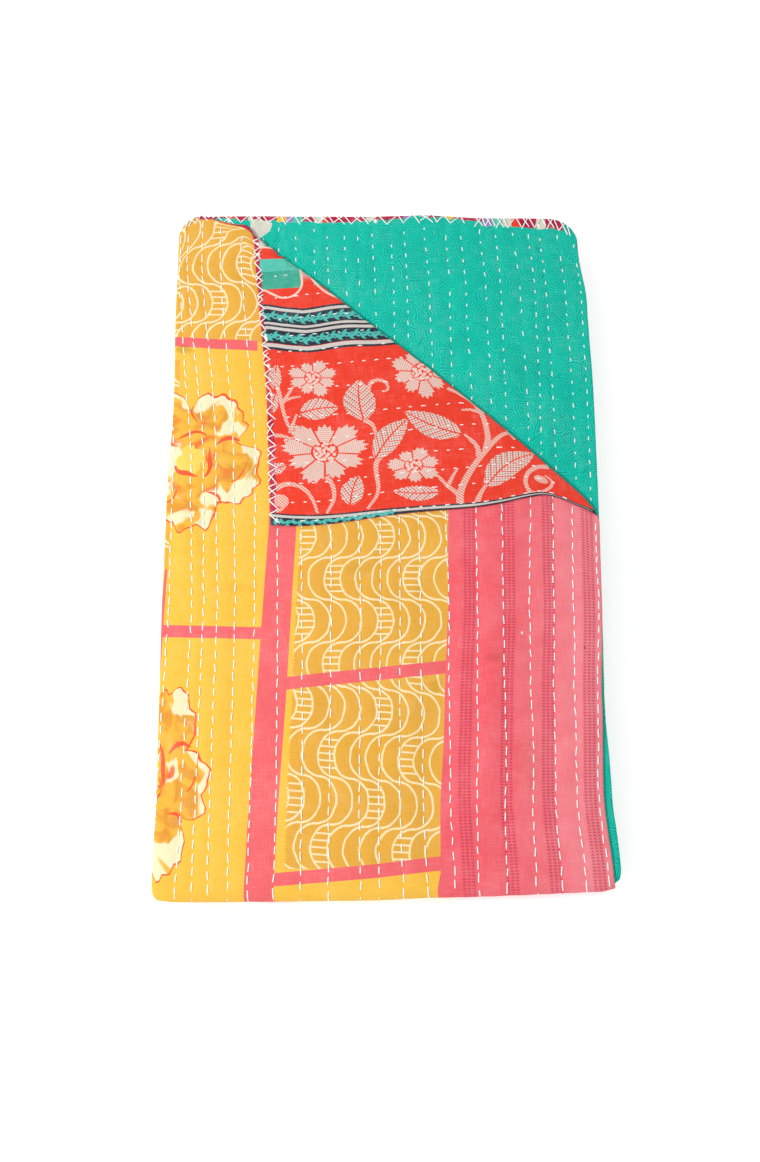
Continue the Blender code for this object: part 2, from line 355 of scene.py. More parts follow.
def turned_about(u, v, angle=0.0):
    """A patch's own places, from (u, v) across to the right and down, turned by an angle."""
    def local(points):
        across, down = u - points[:, 0], points[:, 1] - v
        x = across * math.cos(angle) + down * math.sin(angle)
        return paired(x, down * math.cos(angle) - across * math.sin(angle))
    return local


# %% [markdown]
# ## The front: a checked print of bars, wave panels and blooms
# The front is a bright yellow cotton printed with coral bars, panels of mustard with cream
# serpentine lines, and large loose blooms, sewn to a pink cotton with dotted stripes. The bars lean
# because the old cloth was sewn in askew, so each long edge is a line with a few stations.

# %% The long edges and the panels
SEAM = ((-11, 120), (260, 120.3), (326, 120.6), (444, 123.6), (535, 129), (548, 132), (760, 124),
        (2232, 121))
BAR_INNER = ((-11, 238), (268, 240.8), (405, 246), (547, 254), (800, 246), (2232, 244))
BAR_OUTER = ((-11, 260), (268, 262.7), (405, 269.2), (547, 276), (800, 268), (2232, 266))
PANEL_EDGE = ((-11, 235), (268, 238.2), (527, 246), (560, 247), (800, 241), (2232, 239))
NEXT_PANEL = ((-11, 340), (206, 340.5), (280, 341.3), (325, 342), (380, 345), (547, 350), (2232, 350))
BAR_WIDTH, PANEL_LENGTH, CELL_LENGTH = 9.8, 152, 245


def level_line(v_left, v_right, u_left, u_right):
    """Points of an edge that runs across the cloth from u_left to u_right."""
    u = np.append(np.arange(u_left, u_right, -6.0), u_right)
    return paired(u, np.interp(u, (u_right, u_left), (v_right, v_left)))


def cross_bar(u_left, u_right, left, right):
    """A bar across the front, with its (top, foot) given at its left and right ends."""
    patch(FRONT, "coral_bar", enclosed(*(level_line(*ends, u_left, u_right) for ends in zip(left, right))))


def wave_panel(left_line, right_line, v_top, v_foot, bulge_u, bulge_v, lean=0.0, fringe=0.0, slant=0.0):
    """A panel of serpentine print. A fringe makes its left edge bleed out in fine teeth, and a
    slant cuts its foot higher on the right."""
    outline = strip(left_line, right_line, v_top, v_foot)
    if fringe:
        v = np.arange(v_top, v_foot, 1.3)
        teeth = np.where(np.arange(len(v)) % 2, fringe, 0) * (0.4 + 0.6 * np.abs(np.sin(0.9 * v)))
        left = paired(along_line(left_line, v) - teeth, v)
        outline = np.concatenate([left, outline[len(outline) // 2:]])
    lowest = v_foot - slant * np.clip((238 - outline[:, 0]) / 115, 0, 1)
    outline[:, 1] = np.minimum(outline[:, 1], lowest)
    patch(FRONT, "wave_print", outline, turned_about(bulge_u, bulge_v, lean))


patch(FRONT, "yellow_cotton", WHOLE)
corner_panel = np.concatenate([((262, V_START), (352, V_START)), level_line(101, 106, 352, 262)])
patch(FRONT, "wave_print", corner_panel, turned_about(329.2, 70.5))
cross_bar(352, 276, (100.2, 108.4), (104.5, 113.4))
cross_bar(352, 262, (345.2, 354.9), (347.5, 357.1))
wave_panel(NEXT_PANEL, ((-11, 352), (2232, 352)), 121, 345, 372, 160)
patch(FRONT, "coral_bar", strip(((300, 341.6), (450, 346.4)), ((300, 343.4), (450, 349.5)), 300, 450))
wave_panel(PANEL_EDGE, SEAM, 372, 530, 190.5, 412.8, 0.0795, 2.2)
wave_panel(PANEL_EDGE, SEAM, 150, 391, 190.6, 273.6, 0.0, 1.8, 12.5)
cross_bar(250, 120, (387.4, 397.5), (373.7, 384.0))
cross_bar(256, 124, (532.6, 542.3), (522.7, 533.1))
for v_bar in np.arange(690, V_END, PANEL_LENGTH):
    wave_panel(PANEL_EDGE, SEAM, v_bar, min(v_bar + PANEL_LENGTH, V_END), 192, v_bar + 40)
    cross_bar(250, 120, (v_bar + 5, v_bar + 5 + BAR_WIDTH), (v_bar, v_bar + BAR_WIDTH))
for v_bar in np.arange(595, V_END, CELL_LENGTH):
    cross_bar(352, 262, (v_bar - 2, v_bar - 2 + BAR_WIDTH), (v_bar, v_bar + BAR_WIDTH))
patch(FRONT, "coral_bar", strip(BAR_INNER, BAR_OUTER, V_START, V_END))

# %% The pink cotton beside the seam, and the columns on the inner leaves
STRIPE_DRIFT = ((325, 0), (390, 0.016), (450, 0.032), (547, 0.040), (760, 0.015), (2232, 0))
INNER_COLUMNS = (("wave_print", 352, 480), ("coral_bar", 480, 502), ("pink_stripes", 720, 840),
                 ("wave_print", 840, 975), ("coral_bar", 975, 998), ("pink_stripes", 1200, U_END))


def drifting(points):
    """The stripes' own places. Cloth outside the foot fold is stretched, the dashes aren't."""
    u = points[:, 0] * (1 - along_line(STRIPE_DRIFT, points[:, 1]))
    turned = np.clip(points[:, 1] - STACK_MM, 0, STACK_TURN / MM)
    return paired(u, points[:, 1] + turned)


patch(FRONT, "pink_stripes", strip(((-11, 0), (2232, 0)), SEAM, V_START, V_END), drifting)
for finish, u_from, u_to in INNER_COLUMNS:
    column = ((u_from, V_START), (u_to, V_START), (u_to, V_END), (u_from, V_END))
    patch(FRONT, finish, column, drifting if finish == "pink_stripes" else turned_about(u_from, 0))
print(len(FRONT), "patches on the front before the blooms")

# %% [markdown]
# The yellow cells carry a large printed bloom each, with a thin red-orange outline and a washy
# cream and amber inside. The bloom here is the lesson's own, drawn from a few formulas: a ring of
# petals of uneven length whose frilled edge comes from three ripples, a tapering stroke from each
# notch towards the middle, and a whorl of crescents round a small open heart.

# %% Ragged blooms
BLOOM_LINE = 1.25
BLOOMS = (
    # u, v, reach in u, reach in v, petals, turn in radians
    (327, 208, 60, 68, 5, 0.35), (352, 461, 52, 82, 6, 0.9),
)


def ragged_ring(u, v, reach_u, reach_v, petals, turn, frill=1.0, shrink=0.0, points=120):
    """A frilled outline. Every petal has its own length; shrink draws it in for the inside colour."""
    angle = whole_turn(points)
    place = (angle - turn) * petals / (2 * PI)
    share = place - np.floor(place + 0.5)
    number = np.floor(place + 0.5) % petals
    length = 0.86 + 0.14 * np.sin(2.6 * number + 5 * turn)
    petal = (1 - (2 * np.abs(share)) ** 3.2) * length
    ripple = 0.045 * np.abs(np.sin(9 * angle + 2 * turn)) + 0.030 * np.sin(14 * angle + turn)
    ripple += 0.022 * np.sin(31 * angle + 3 * turn)
    radius = 0.60 + 0.34 * petal + frill * ripple
    inset = shrink * (1 + 0.9 * np.maximum(np.sin(3 * angle + 4 * turn), 0) ** 3)
    return paired(u + (reach_u * radius - inset) * np.cos(angle),
                  v + (reach_v * radius - inset) * np.sin(angle))


def bloom(u, v, reach_u, reach_v, petals, turn):
    """One bloom: an outline, a washy inside, strokes from the notches and a whorl round the heart."""
    middle, stretch = np.array((u, v), float), np.array((reach_u, reach_v), float)

    def from_middle(points):
        return (points - middle) / stretch / MM * 0.1

    def brush_stroke(start, end, bow, width, steps=7, wobble=0.0):
        """A curved stroke between two (angle, reach) places, pointed at its inner end."""
        share = np.linspace(0, 1, steps)
        angle = start[0] + (end[0] - start[0]) * share + bow * np.sin(PI * share)
        reach = start[1] + (end[1] - start[1]) * share + wobble * np.sin(3.3 * angle)
        half = width / 2 * np.sin(PI * np.clip(share * 0.88 + 0.10, 0, 1))
        patch(FRONT, "bloom_line", banded(middle + stretch * round_about(angle, reach[:, None]), half))

    patch(FRONT, "bloom_line", ragged_ring(u, v, reach_u, reach_v, petals, turn))
    inside = ragged_ring(u, v, reach_u, reach_v, petals, turn, 1.0, BLOOM_LINE)
    patch(FRONT, "bloom_wash", inside, from_middle)
    for petal in range(petals):
        angle = turn + (petal + 0.5) * 2 * PI / petals
        end = (angle + 0.16 * (-1) ** petal, 0.36 + 0.10 * (petal % 2))
        brush_stroke((angle, 0.68), end, 0.10, 1.6 + 1.1 * (petal % 3))
        if petal % 2:
            brush_stroke((angle + 0.42, 0.60), (angle + 0.95, 0.78), -0.12, 1.3)
    heart = ragged_ring(u, v, reach_u * 0.20, reach_v * 0.20, 4, turn, 2.0, 0.0, 30)
    patch(FRONT, "bloom_heart", heart, from_middle)
    for number in range(4):
        angle, reach = turn + number * 1.9, 0.19 + 0.065 * number
        end = (angle + 1.7 - 0.2 * number, reach + 0.04)
        brush_stroke((angle, reach), end, 0.0, 4.2 - 0.8 * number, 9, 0.035)


for row in BLOOMS:
    bloom(*row)
for number, v_cell in enumerate(np.arange(595 + CELL_LENGTH / 2, V_END - 60, CELL_LENGTH)):
    bloom(312 + 14 * (number % 2), v_cell, 48, 72, 5 + number % 2, 0.5 * number)
SPECKS = (("pale_cotton", (63, 352), (1.0, 1.3)), ("dark_line", (14, 364), (0.6, 0.7)))
for finish, middle, reach in SPECKS:
    patch(FRONT, finish, middle + np.array(reach) * round_about(whole_turn(8)))
print(len(FRONT), "patches on the front")

# %% [markdown]
# ## The back: teal cotton, and a red flowered sari end at the corner
# The turned corner shows the back: a red sari end with pale vines and flowers between two narrow
# borders. On this side it is easier to draft as it is seen, with `v` to the right and `u` upwards,
# so these helpers take (v, u) and swap them. A flower is a ring of petals with notched tips
# round a disc, a leaf is two halves with a gap for its midrib, and a stem is a ribbon on a curve.

# %% Helpers for the flowered cotton
def back(finish, points, local=None):
    """A patch drawn where it is seen: its v is moved back by what the hem draws in."""
    seen = np.array(points, float)[:, ::-1] * MM
    flat = seen.copy()
    for _ in range(5):
        flat[:, 1] = seen[:, 1] - (drawn_in(flat[:, 0], flat[:, 1]) - flat[:, 1])
    patch(BACK, finish, flat / MM, local and (lambda flat: local(flat[:, ::-1])))


def own_axes(origin, way):
    """Places measured from an origin, along a way and across it."""
    def local(points):
        rest = points - origin
        return paired(rest @ way, rest @ square_to(way))
    return local


def smooth_path(points, step):
    """A round curve through the points, at about an even step."""
    points = np.array(points, float)
    ends = np.concatenate([[2 * points[0] - points[1]], points, [2 * points[-1] - points[-2]]])
    found = [points[:1]]
    for a, b, c, d in zip(ends, ends[1:], ends[2:], ends[3:]):
        t = np.linspace(0, 1, max(2, round(float(np.linalg.norm(c - b)) / step)) + 1)[1:, None]
        found.append(0.5 * (2 * b + (c - a) * t + (2 * a - 5 * b + 4 * c - d) * t**2
                            + (3 * b - a - 3 * c + d) * t**3))
    return np.concatenate(found)


def ribbon(finish, points, width, tip=0.5, step=3.0):
    """A stem or line of a given width, thinner at its far end."""
    path = smooth_path(points, step)
    back(finish, banded(path, width / 2 * np.linspace(1, tip, len(path))))


def disc(finish, centre, reach):
    centre, reach = np.array(centre, float), np.array(reach, float)
    back(finish, centre + reach * round_about(whole_turn(14)), own_axes(centre, np.array((1.0, 0.0))))


def flower(v, u, reach_v, reach_u, heart, petals, turn):
    """Petals with toothed tips round a seeded disc."""
    centre, reach = np.array((v, u), float), np.array((reach_v, reach_u), float)
    sector = 2 * PI / petals
    share = np.linspace(-1, 1, 9)
    tooth = np.where(np.arange(9) % 2 == 0, 0.0, 0.13)
    for petal in range(petals):
        middle = turn + petal * sector
        length = 0.82 + 0.20 * (1 - share**2) - tooth + 0.09 * math.sin(2.3 * petal + turn)
        tip = round_about(middle + share * sector * 0.455, length[:, None])
        root = round_about(middle + np.array((1, 0, -1)) * sector * 0.42) * heart / reach.mean()
        way = np.array((math.cos(middle), math.sin(middle)))
        back("petal_hatch", centre + np.concatenate([tip, root]) * reach, own_axes(centre, way))
    disc("seeded_disc", centre, np.array((heart, heart)) * 0.93)


def leaf(foot, tip, width):
    """Two toothed halves along a midrib."""
    foot, tip = np.array(foot, float), np.array(tip, float)
    length = np.linalg.norm(tip - foot)
    way = (tip - foot) / length
    t = np.linspace(0, 1, 19)
    teeth = np.where(np.arange(len(t)) % 2 == 1, 0.45, -0.25)
    bulge = np.maximum(width / 2 * np.sin(PI * t**0.85) ** 0.8 + teeth, 0.5)
    rib = 0.45 + 0.25 * (1 - t)
    bow = 0.05 * length * np.sin(PI * t)
    middle = foot + way * (t * length)[:, None] + square_to(way) * bow[:, None]
    for side in (square_to(way), -square_to(way)):
        outer, inner = (middle + side * reach[:, None] for reach in (bulge, rib))
        back("leaf_dots", enclosed(outer, inner), own_axes(foot, way))


# %% [markdown]
# The flowered field is laid out motif by motif, on short lists with one entry for each flower, leaf
# and stem. The borders repeat, so a loop makes their little vine leaves.

# %% The red field with its flowers
RED_TOP, RED_SIDE = 300, 345
FLOWERS = (
    # v, u, reach in v, reach in u, disc, petals, turn
    (37, 134, 20, 17.5, 6.8, 8, 0.30), (39, 66, 35, 27, 10.0, 9, 0.10),
    (126, 131, 24, 24, 9.0, 9, 0.55), (107, 44, 20, 17, 7.2, 7, 0.20),
)
LEAF_ROWS = (
    # foot, tip, width
    ((23, 102), (54, 105), 19), ((73, 91), (74, 129), 26), ((78, 55), (108, 88), 20),
    ((149, 69), (107, 95), 22), ((124, 17), (88, 22), 14), ((53, 15), (63, 41), 18),
    ((160, 18), (203, 50), 24), ((28, 77), (14, 92), 12), ((24, 68), (8, 78), 12),
    ((5, 125), (9, 149), 11), ((0, 103), (5, 121), 9), ((-6, 49), (7, 55), 10),
)
STEMS = (
    # width, then the points of its curve
    (4.2, ((4, 146), (6, 134), (8, 119), (10, 100), (14, 87), (23, 76))),
    (3.4, ((9, 111), (14, 118), (20, 127))),
    (2.8, ((12, 114), (18, 116), (25, 117))),
    (3.4, ((13, 84), (16, 92), (20, 101))),
    (4.2, ((-5, 81), (4, 82), (14, 79))),
    (4.0, ((73, 91), (79, 87), (81, 79), (81, 73))),
    (4.4, ((84, 58), (78, 50), (77, 38), (77, 28), (74, 19), (66, 9))),
    (4.6, ((-5, 33), (4, 38), (12, 38), (20, 33), (25, 23), (27, 11))),
    (4.2, ((38, 44), (42, 34), (41, 22), (34, 10))),
    (3.2, ((-7, 13), (-1, 15), (4, 21))),
    (3.6, ((80, 119), (84, 126), (91, 127), (96, 123), (96, 117), (91, 116))),
    (6.0, ((138, 4), (139, 13), (145, 26), (155, 40), (165, 51), (177, 64), (186, 69), (191, 63))),
    (5.2, ((165, 51), (169, 64), (169, 80), (166, 93), (158, 104), (144, 114))),
    (4.6, ((159, 47), (159, 57), (151, 69))),
    (4.4, ((139, 12), (131, 22), (123, 35))),
    (3.4, ((132, 24), (136, 31), (141, 38))),
    (4.8, ((151, 4), (155, 12), (161, 20))),
    (3.4, ((168, 88), (160, 92), (152, 92))),
    (4.2, ((213, 38), (204, 36), (195, 26), (191, 14), (194, 4), (203, 4), (210, 12), (213, 22),
           (208, 27))),
)
back("maze_print", ((V_START, 0), (V_START, U_END), (V_END, U_END), (V_END, 0)))
back("red_cotton", ((V_START, 0), (V_START, RED_TOP), (RED_SIDE, RED_TOP), (RED_SIDE, 0)))
for width, points in STEMS:
    ribbon("stem_hatch", points, width)
for row in LEAF_ROWS:
    leaf(*row)
for row in FLOWERS:
    flower(*row)
disc("stem_hatch", (0, 23), (6, 6))
disc("stem_hatch", (204, 20), (5.5, 5.5))
print(len(BACK), "patches on the back so far")

# %% The narrow vine borders
BORDER_TOP = ((-11, 213), (5, 212), (20, 207), (38, 203.5), (70, 204.5), (110, 202), (345, 200))
BORDER_FOOT = ((-11, 166), (5, 165), (20, 161.5), (38, 159.5), (70, 161), (110, 159.5), (345, 158))
BORDER_STRIPES = (
    # finish, from and to as shares of the border's width
    ("dark_line", 0.000, 0.045), ("grey_line", 0.045, 0.110), ("dark_line", 0.110, 0.400),
    ("grey_line", 0.400, 0.455), ("dark_line", 0.455, 0.500), ("grey_line", 0.500, 0.565),
    ("dark_line", 0.565, 0.860), ("grey_line", 0.870, 0.950), ("dark_line", 0.950, 1.000),
)
VINE_PITCH, VINE_MIDDLES, VINE_HALF = 9.6, (0.255, 0.715), 5.9


def between(share):
    """A line at a share of the border's width, with the least u that the hem leaves."""
    stations = np.arange(-11, RED_SIDE, 6.0)
    u = along_line(BORDER_TOP, stations) * (1 - share) + along_line(BORDER_FOOT, stations) * share
    return paired(stations, np.maximum(u + 0.5 * np.sin(stations / 8.5), 1.3))


def comma(root, way, side, length, width):
    """A curled leaf: a crescent that leaves its root along the way and bends to the side."""
    t = np.linspace(0, 1, 6)[:, None]
    middle = root + way * length * t + side * length * 0.42 * t**2
    half = width / 2 * np.sin(PI * t**0.75) + 0.12 * (1 - t)
    normal = side * 0.9 - way * 0.42 * t
    back("vine_leaf", np.concatenate([middle + normal * half, (middle - normal * half)[-2::-1]]))


def vine(middle, half, v_low, v_high):
    """A wavy stem with a pair of comma leaves at each turn."""
    v = np.arange(v_low, v_high, VINE_PITCH / 4)
    wave = np.array((0, 0.35, 0, -0.35))[np.arange(len(v)) % 4] * half
    ribbon("vine_leaf", paired(v, along_line(middle, v) + wave), 1.5, 1.0, 1.6)
    for number, at in enumerate(np.arange(v_low, v_high, VINE_PITCH / 2)):
        up = 1 if number % 2 else -1
        root = np.array((at, along_line(middle, at) + 0.15 * half * up))
        for lean, length in ((1.30, 0.90), (0.30, 1.00)):
            way = np.array((math.cos(lean), up * math.sin(lean)))
            comma(root, way, square_to(way) * -up, half * length, half * 0.46)


for finish, start, end in BORDER_STRIPES:
    back(finish, enclosed(between(start), between(end)))
for share in VINE_MIDDLES:
    vine(between(share), VINE_HALF, -4, 175)

# %% The end piece above the borders
def block(v_low, v_high, u_low, u_high, lift):
    """The outline of a woven block with a slightly slanting top and foot."""
    return (v_low, u_low), (v_high, u_low + lift), (v_high, u_high + lift), (v_low, u_high)


END_PIECE = (
    # finish, outline, own places where its print needs them
    ("pale_cotton", block(V_START, 60, 272, 300, -8)),
    ("red_cotton", ((V_START, 257), (34, 256), (28, 264), (18, 271), (8, 276), (V_START, 275))),
    ("teal_block", block(V_START, 38, 246, 262, -5)),
    ("green_block", block(V_START, 38, 228, 247, -3)),
    ("fading_white", ((38, 231), (46, 228), (47, 258), (37, 262)),
     own_axes(np.array((42.0, 231.0)), np.array((0.0, 1.0)))),
    ("teal_block", block(49, 80, 226, 250, -4)),
    ("pale_cotton", ((V_START, 407), (V_START, 421), (-3, 426), (4, 424), (11, 415), (10, 407))),
)
CREAM_LINES = (
    ((-9, 240), (0, 230), (7, 226), (20, 217), (31, 218), (38, 226), (39, 238), (38, 256)),
    ((47, 256), (46, 238), (51, 227), (59, 217), (70, 210), (84, 206)),
    ((-8, 271), (4, 275), (16, 272), (30, 264), (42, 252)),
)
for row in END_PIECE:
    back(*row)
for points in CREAM_LINES:
    ribbon("cream_line", points, 1.9, 1.0)
print(len(BACK), "patches on the back")

# %% [markdown]
# Both faces end at the head in a narrow hem of scraps, whipped over with crossed stitches. The
# scraps are torn from whatever is at hand, mostly a wine-red sari, so their lengths, slants and
# ragged inner edges come from a seeded random run. They are torn deeper towards the back's far
# corner, and one spot on each side is left bare, where the plain cloth itself is turned in.

# %% Scraps along the head hem
WINE = "magenta_scrap"
SCRAPS = (WINE, WINE, "pale_cotton", WINE, "yellow_cotton", WINE, "lilac_scrap", "teal_block", WINE,
          "pale_cotton", "red_cotton")
SCRAP_DEPTH, DEEP_FROM, DEEP_TO, DEEPER = 5.2, 606, 690, 1.75
BARE_REACH = 13
tear = np.random.default_rng(5)
for side, first_plain, bare in ((FRONT, 0.0, 341), (BACK, 300.0, 2 * LEAF_MM + 5)):
    at, number = 0.0, 0
    while at < U_END:
        finish = WINE if at < first_plain else SCRAPS[number % len(SCRAPS)]
        length = tear.uniform(10, 26) if finish == WINE else tear.uniform(3, 9)
        end = min(at + length, U_END)
        u = np.linspace(at, end, max(3, int(length / 3.5)))
        depth = SCRAP_DEPTH * (0.75 + 0.35 * math.sin(0.031 * at)) + tear.uniform(-0.9, 1.1, len(u))
        depth = depth * (DEEPER if side is BACK and DEEP_FROM < at < DEEP_TO else 1)
        inner = paired(u + np.linspace(0, tear.uniform(-1.5, 1.5), len(u)), V_START + depth)
        inner[:, 0] = np.clip(inner[:, 0], 0, U_END)
        if abs((at + end) / 2 - bare) >= BARE_REACH:
            patch(side, finish, np.concatenate([((end, V_START), (at, V_START)), inner]))
        at, number = end, number + 1 + int(tear.integers(0, 2))
print("scraps done:", len(FRONT), "and", len(BACK), "patches")

# %% [markdown]
# The turned corner's lower hem is the sari's own woven edge: a dark line, a grey one, and a dark
# band with a small vine. It runs over the end of the scraps, so it is drafted last.

# %% The lower hem of the corner
HEM_LINE = ((-11, 11.7), (92, 6.0), (202, 3.4), (345, 2.4))
HEM_STRIPES = (
    # finish, from and to below the hem line, in millimetres
    ("dark_line", 0.0, 1.4), ("grey_line", 1.4, 3.7), ("dark_line", 3.7, 13.0),
)
for finish, start, end in HEM_STRIPES:
    v = np.arange(-11, RED_SIDE, 6.0)
    back(finish, enclosed(*(paired(v, np.maximum(along_line(HEM_LINE, v) - off, least))
                            for off, least in ((start, 1.3), (end, 1.25)))))
vine(((-11, 3.6), (40, 3.0), (92, 1.8)), 3.6, -8, 88)
print("the lower hem ends the list:", len(BACK), "patches")

# %% [markdown]
# ## The relief of quilting
# Each row of thread pulls the layers together into a thin valley, and the cloth between two rows
# plumps up and crinkles across, which is what gives old quilting its rippled hand. The relief is a
# height over the middle of the cloth, added before the fold. A displacement modifier would push all
# leaves into each other, so the height is kept low where leaves lie on each other.

# %% Height of each face over the middle of the cloth
ROW_HALF, HIDDEN_HALF, OPEN_HALF = 0.40, 0.80, 1.22
VALLEY_WIDTH = 2.4
CRINKLE, CRINKLE_ACROSS, CRINKLE_ALONG = 0.30, 24.0, 5.2
HEM_EDGE_HALF, HEM_EDGE = 0.32, 1.2


def uneven(x, y, size_x, size_y, seed):
    """Smooth, seeded unevenness between -1 and 1, with bumps of the given size."""
    table = np.random.default_rng(seed).uniform(-1, 1, (256, 256))
    x, y = x / size_x + 17.3, y / size_y + 31.7
    column, row = np.floor(x).astype(int), np.floor(y).astype(int)
    a, b = ease(x - column), ease(y - row)
    near, far = (table[column % 256, line % 256] * (1 - a) + table[(column + 1) % 256, line % 256] * a
                 for line in (row, row + 1))
    return near * (1 - b) + far * b


def turned_over(u, v):
    """How far past the crease a flat place lies, in millimetres: above zero where it is turned. A
    place on the second leaf is read where it lies under the top one."""
    u = np.where(u > LEAF_MM, 2 * LEAF_MM + LEAF_TURN / MM - u, u)
    return past_crease(RIGHT_TURN - u * MM, HEAD_TURN - v * MM) / MM


def open_face(u, v, front):
    """1 where nothing lies on this face, 0 where another leaf does."""
    turned = turned_over(u, v)
    top_stack = ease((STACK_MM + 4 - v) / 8)
    on_leaf = ease((LEAF_MM + 1 - u) / 6)
    if front:
        return np.maximum(on_leaf * ease(-turned / 6) * top_stack, on_leaf * ease((v - 1680) / 8) * 0.5)
    flap = ease((turned - 4) / 6) * (u < LEAF_MM)
    second = ease((turned - 2) / 6) * (u > LEAF_MM) * ease((2 * LEAF_MM - u) / 6)
    return np.maximum(flap, second) * top_stack


def face_height(u, v, front):
    """Height of a face over the middle of the cloth at flat places in millimetres."""
    near, share = beside_rows(u, v)
    hill = (1 - np.exp(-near / VALLEY_WIDTH)) * (0.86 + 0.14 * np.sin(PI * share))
    plump = HIDDEN_HALF + (OPEN_HALF - HIDDEN_HALF) * open_face(u, v, front)
    crinkle = uneven(u, v, CRINKLE_ACROSS, CRINKLE_ALONG, 11) + 0.6 * uneven(u, v, 9.0, 11.0, 12)
    height = ROW_HALF + (plump - ROW_HALF) * hill * (1 - CRINKLE + CRINKLE * crinkle)
    rim = np.minimum(np.minimum(u, U_END - u), np.minimum(v - V_START, V_END - v))
    return HEM_EDGE_HALF + (height - HEM_EDGE_HALF) * ease(rim / (2 * HEM_EDGE) + 0.15)


# %% [markdown]
# The main creases are set one by one on the folded packet: each is a low ridge or trough from one point
# to another.
# pushed through another.

# %% Main creases
CREASES = (
    # x and y of both ends, half width, height at the top (all in millimetres)
    (-168, 120, -150, -60, 9, 0.9), (-150, 250, -128, 120, 11, -0.8), (-112, -40, -118, -230, 10, -0.9),
    (-60, -20, -66, -250, 13, 0.8), (40, -30, 36, -262, 12, -1.1), (86, 10, 78, -262, 10, 0.9),
    (120, -60, 132, -268, 9, -0.9), (152, -20, 158, -262, 8, 0.9), (150, 190, 112, 96, 12, -1.0),
    (60, 262, 100, 130, 13, 0.8), (-20, 262, 20, 175, 12, -0.8), (-128, 178, -20, 168, 9, 0.8),
    (-70, 60, 90, 44, 10, -0.8), (-128, 92, -20, 100, 11, -0.7), (-176, -262, 160, -270, 9, -0.6),
    (-100, -150, 20, -158, 14, 0.6),
)


def creased(places):
    x, y = places[:, 0] / MM, places[:, 1] / MM
    rise = np.zeros(len(places))
    for x0, y0, x1, y1, width, height in CREASES:
        run = np.array((x1 - x0, y1 - y0), float)
        length = np.linalg.norm(run)
        run /= length
        share = ((x - x0) * run[0] + (y - y0) * run[1]) / length
        off = (x - x0) * run[1] - (y - y0) * run[0] + 3 * np.sin(share * 5)
        rise += height * swell(off, 0, width) * swell(share, 0.5, 0.42)
    rise += 0.35 * uneven(x, y, 34, 52, 21)
    lifted = places.copy()
    lifted[:, 2] += rise * MM * np.clip(places[:, 2] / TOP_LEVEL, 0, 1.2)
    return lifted


def placed(u, v, up):
    """Where flat places in millimetres end up in the packet, in metres."""
    return creased(folded(u * MM, v * MM, up * MM))


middle = placed(np.array([100.0]), np.array([300.0]), np.zeros(1))[0]
print("the middle of the top leaf lies at", np.round(middle / MM, 1), "mm")

# %% [markdown]
# ## From the draft to a mesh
# A constrained Delaunay triangulation turns the patches into triangles that keep every outline as an
# edge. It needs three kinds of points: the outlines, close lines wherever a fold turns, and a fine
# lattice along the rows where the face shows. Cutting the outlines into the mesh costs triangles,
# but the prints stay sharp at any distance and each triangle knows its own finish.

# %% Stations for the border and the fold lines
LEAF_TURN_STEPS, STACK_TURN_STEPS = 6, 10


def turn_stations(panel, radius, steps):
    turn = PI * radius
    return np.concatenate([k * (panel + turn) + panel + turn * (np.arange(steps + 1) / steps)
                           for k in range(LEAVES - 1)]) / MM


def stations(start, end, turns, step=5.0):
    """Even stations with the turn lines in place of those close to them."""
    even = np.linspace(start, end, int((end - start) / step) + 1)
    clear = np.abs(even[:, None] - turns[None, :]).min(1) > step * 0.4
    clear[[0, -1]] = True
    return np.sort(np.concatenate([even[clear], turns]))


LEAF_TURNS = turn_stations(LEAF_WIDTH, LEAF_RADIUS, LEAF_TURN_STEPS)
STACK_TURNS = turn_stations(STACK_LENGTH, STACK_RADIUS, STACK_TURN_STEPS)
U_STATIONS, V_STATIONS = stations(0.0, U_END, LEAF_TURNS), stations(V_START, V_END, STACK_TURNS)
border = np.concatenate([paired(U_STATIONS[:-1], V_START), paired(U_END, V_STATIONS[:-1]),
                         paired(U_STATIONS[:0:-1], V_END), paired(0.0, V_STATIONS[:0:-1])])
HEM_LOW = np.array((HEM_EDGE, V_START + HEM_EDGE))
HEM_HIGH = np.array((U_END - HEM_EDGE, V_END - HEM_EDGE))
print(len(border), "points round the sheet")

# %% Lattice points and the crease's own lines
FINE_STEP, FLAP_STEP, UNDER_STEP, COARSE_STEP = 4.0, 3.2, 5.5, 27.0
CREASE_STEPS = 6


def row_lattice(u_low, u_high, v_low, v_high, step, least, most):
    """Points along the rows, close beside them and between them, this far past the crease."""
    v = np.arange(v_low, v_high, step)
    places = row_places(v)
    gap = np.diff(places, axis=1)
    beside, inner = 1.5 / gap, max(2, round(14.0 / step))
    shares = [np.zeros_like(gap), beside, 1 - beside]
    shares += [beside + (1 - 2 * beside) * number / inner for number in range(1, inner)]
    u = np.concatenate([places[:, :-1] + gap * share for share in shares], 1)
    points = paired(u, v[:, None]).reshape(-1, 2)
    points = points[(points[:, 0] > u_low) & (points[:, 0] < u_high)]
    turned = turned_over(points[:, 0], points[:, 1])
    return points[(turned > least) & (turned < most)]


def crease_lines():
    """Lines along the slanting crease, spread over its half circle."""
    for across in np.linspace(0, PI * CREASE_RADIUS / FLAP_DRAW, CREASE_STEPS + 1) / MM:
        xy = HEAD / MM + np.arange(0, 401, 4.0)[:, None] * ALONG + across * ACROSS
        line = np.array((RIGHT_TURN, HEAD_TURN)) / MM - xy
        yield line[(line > HEM_LOW + 0.5).all(1) & (line[:, 0] < LEAF_MM - 1)]


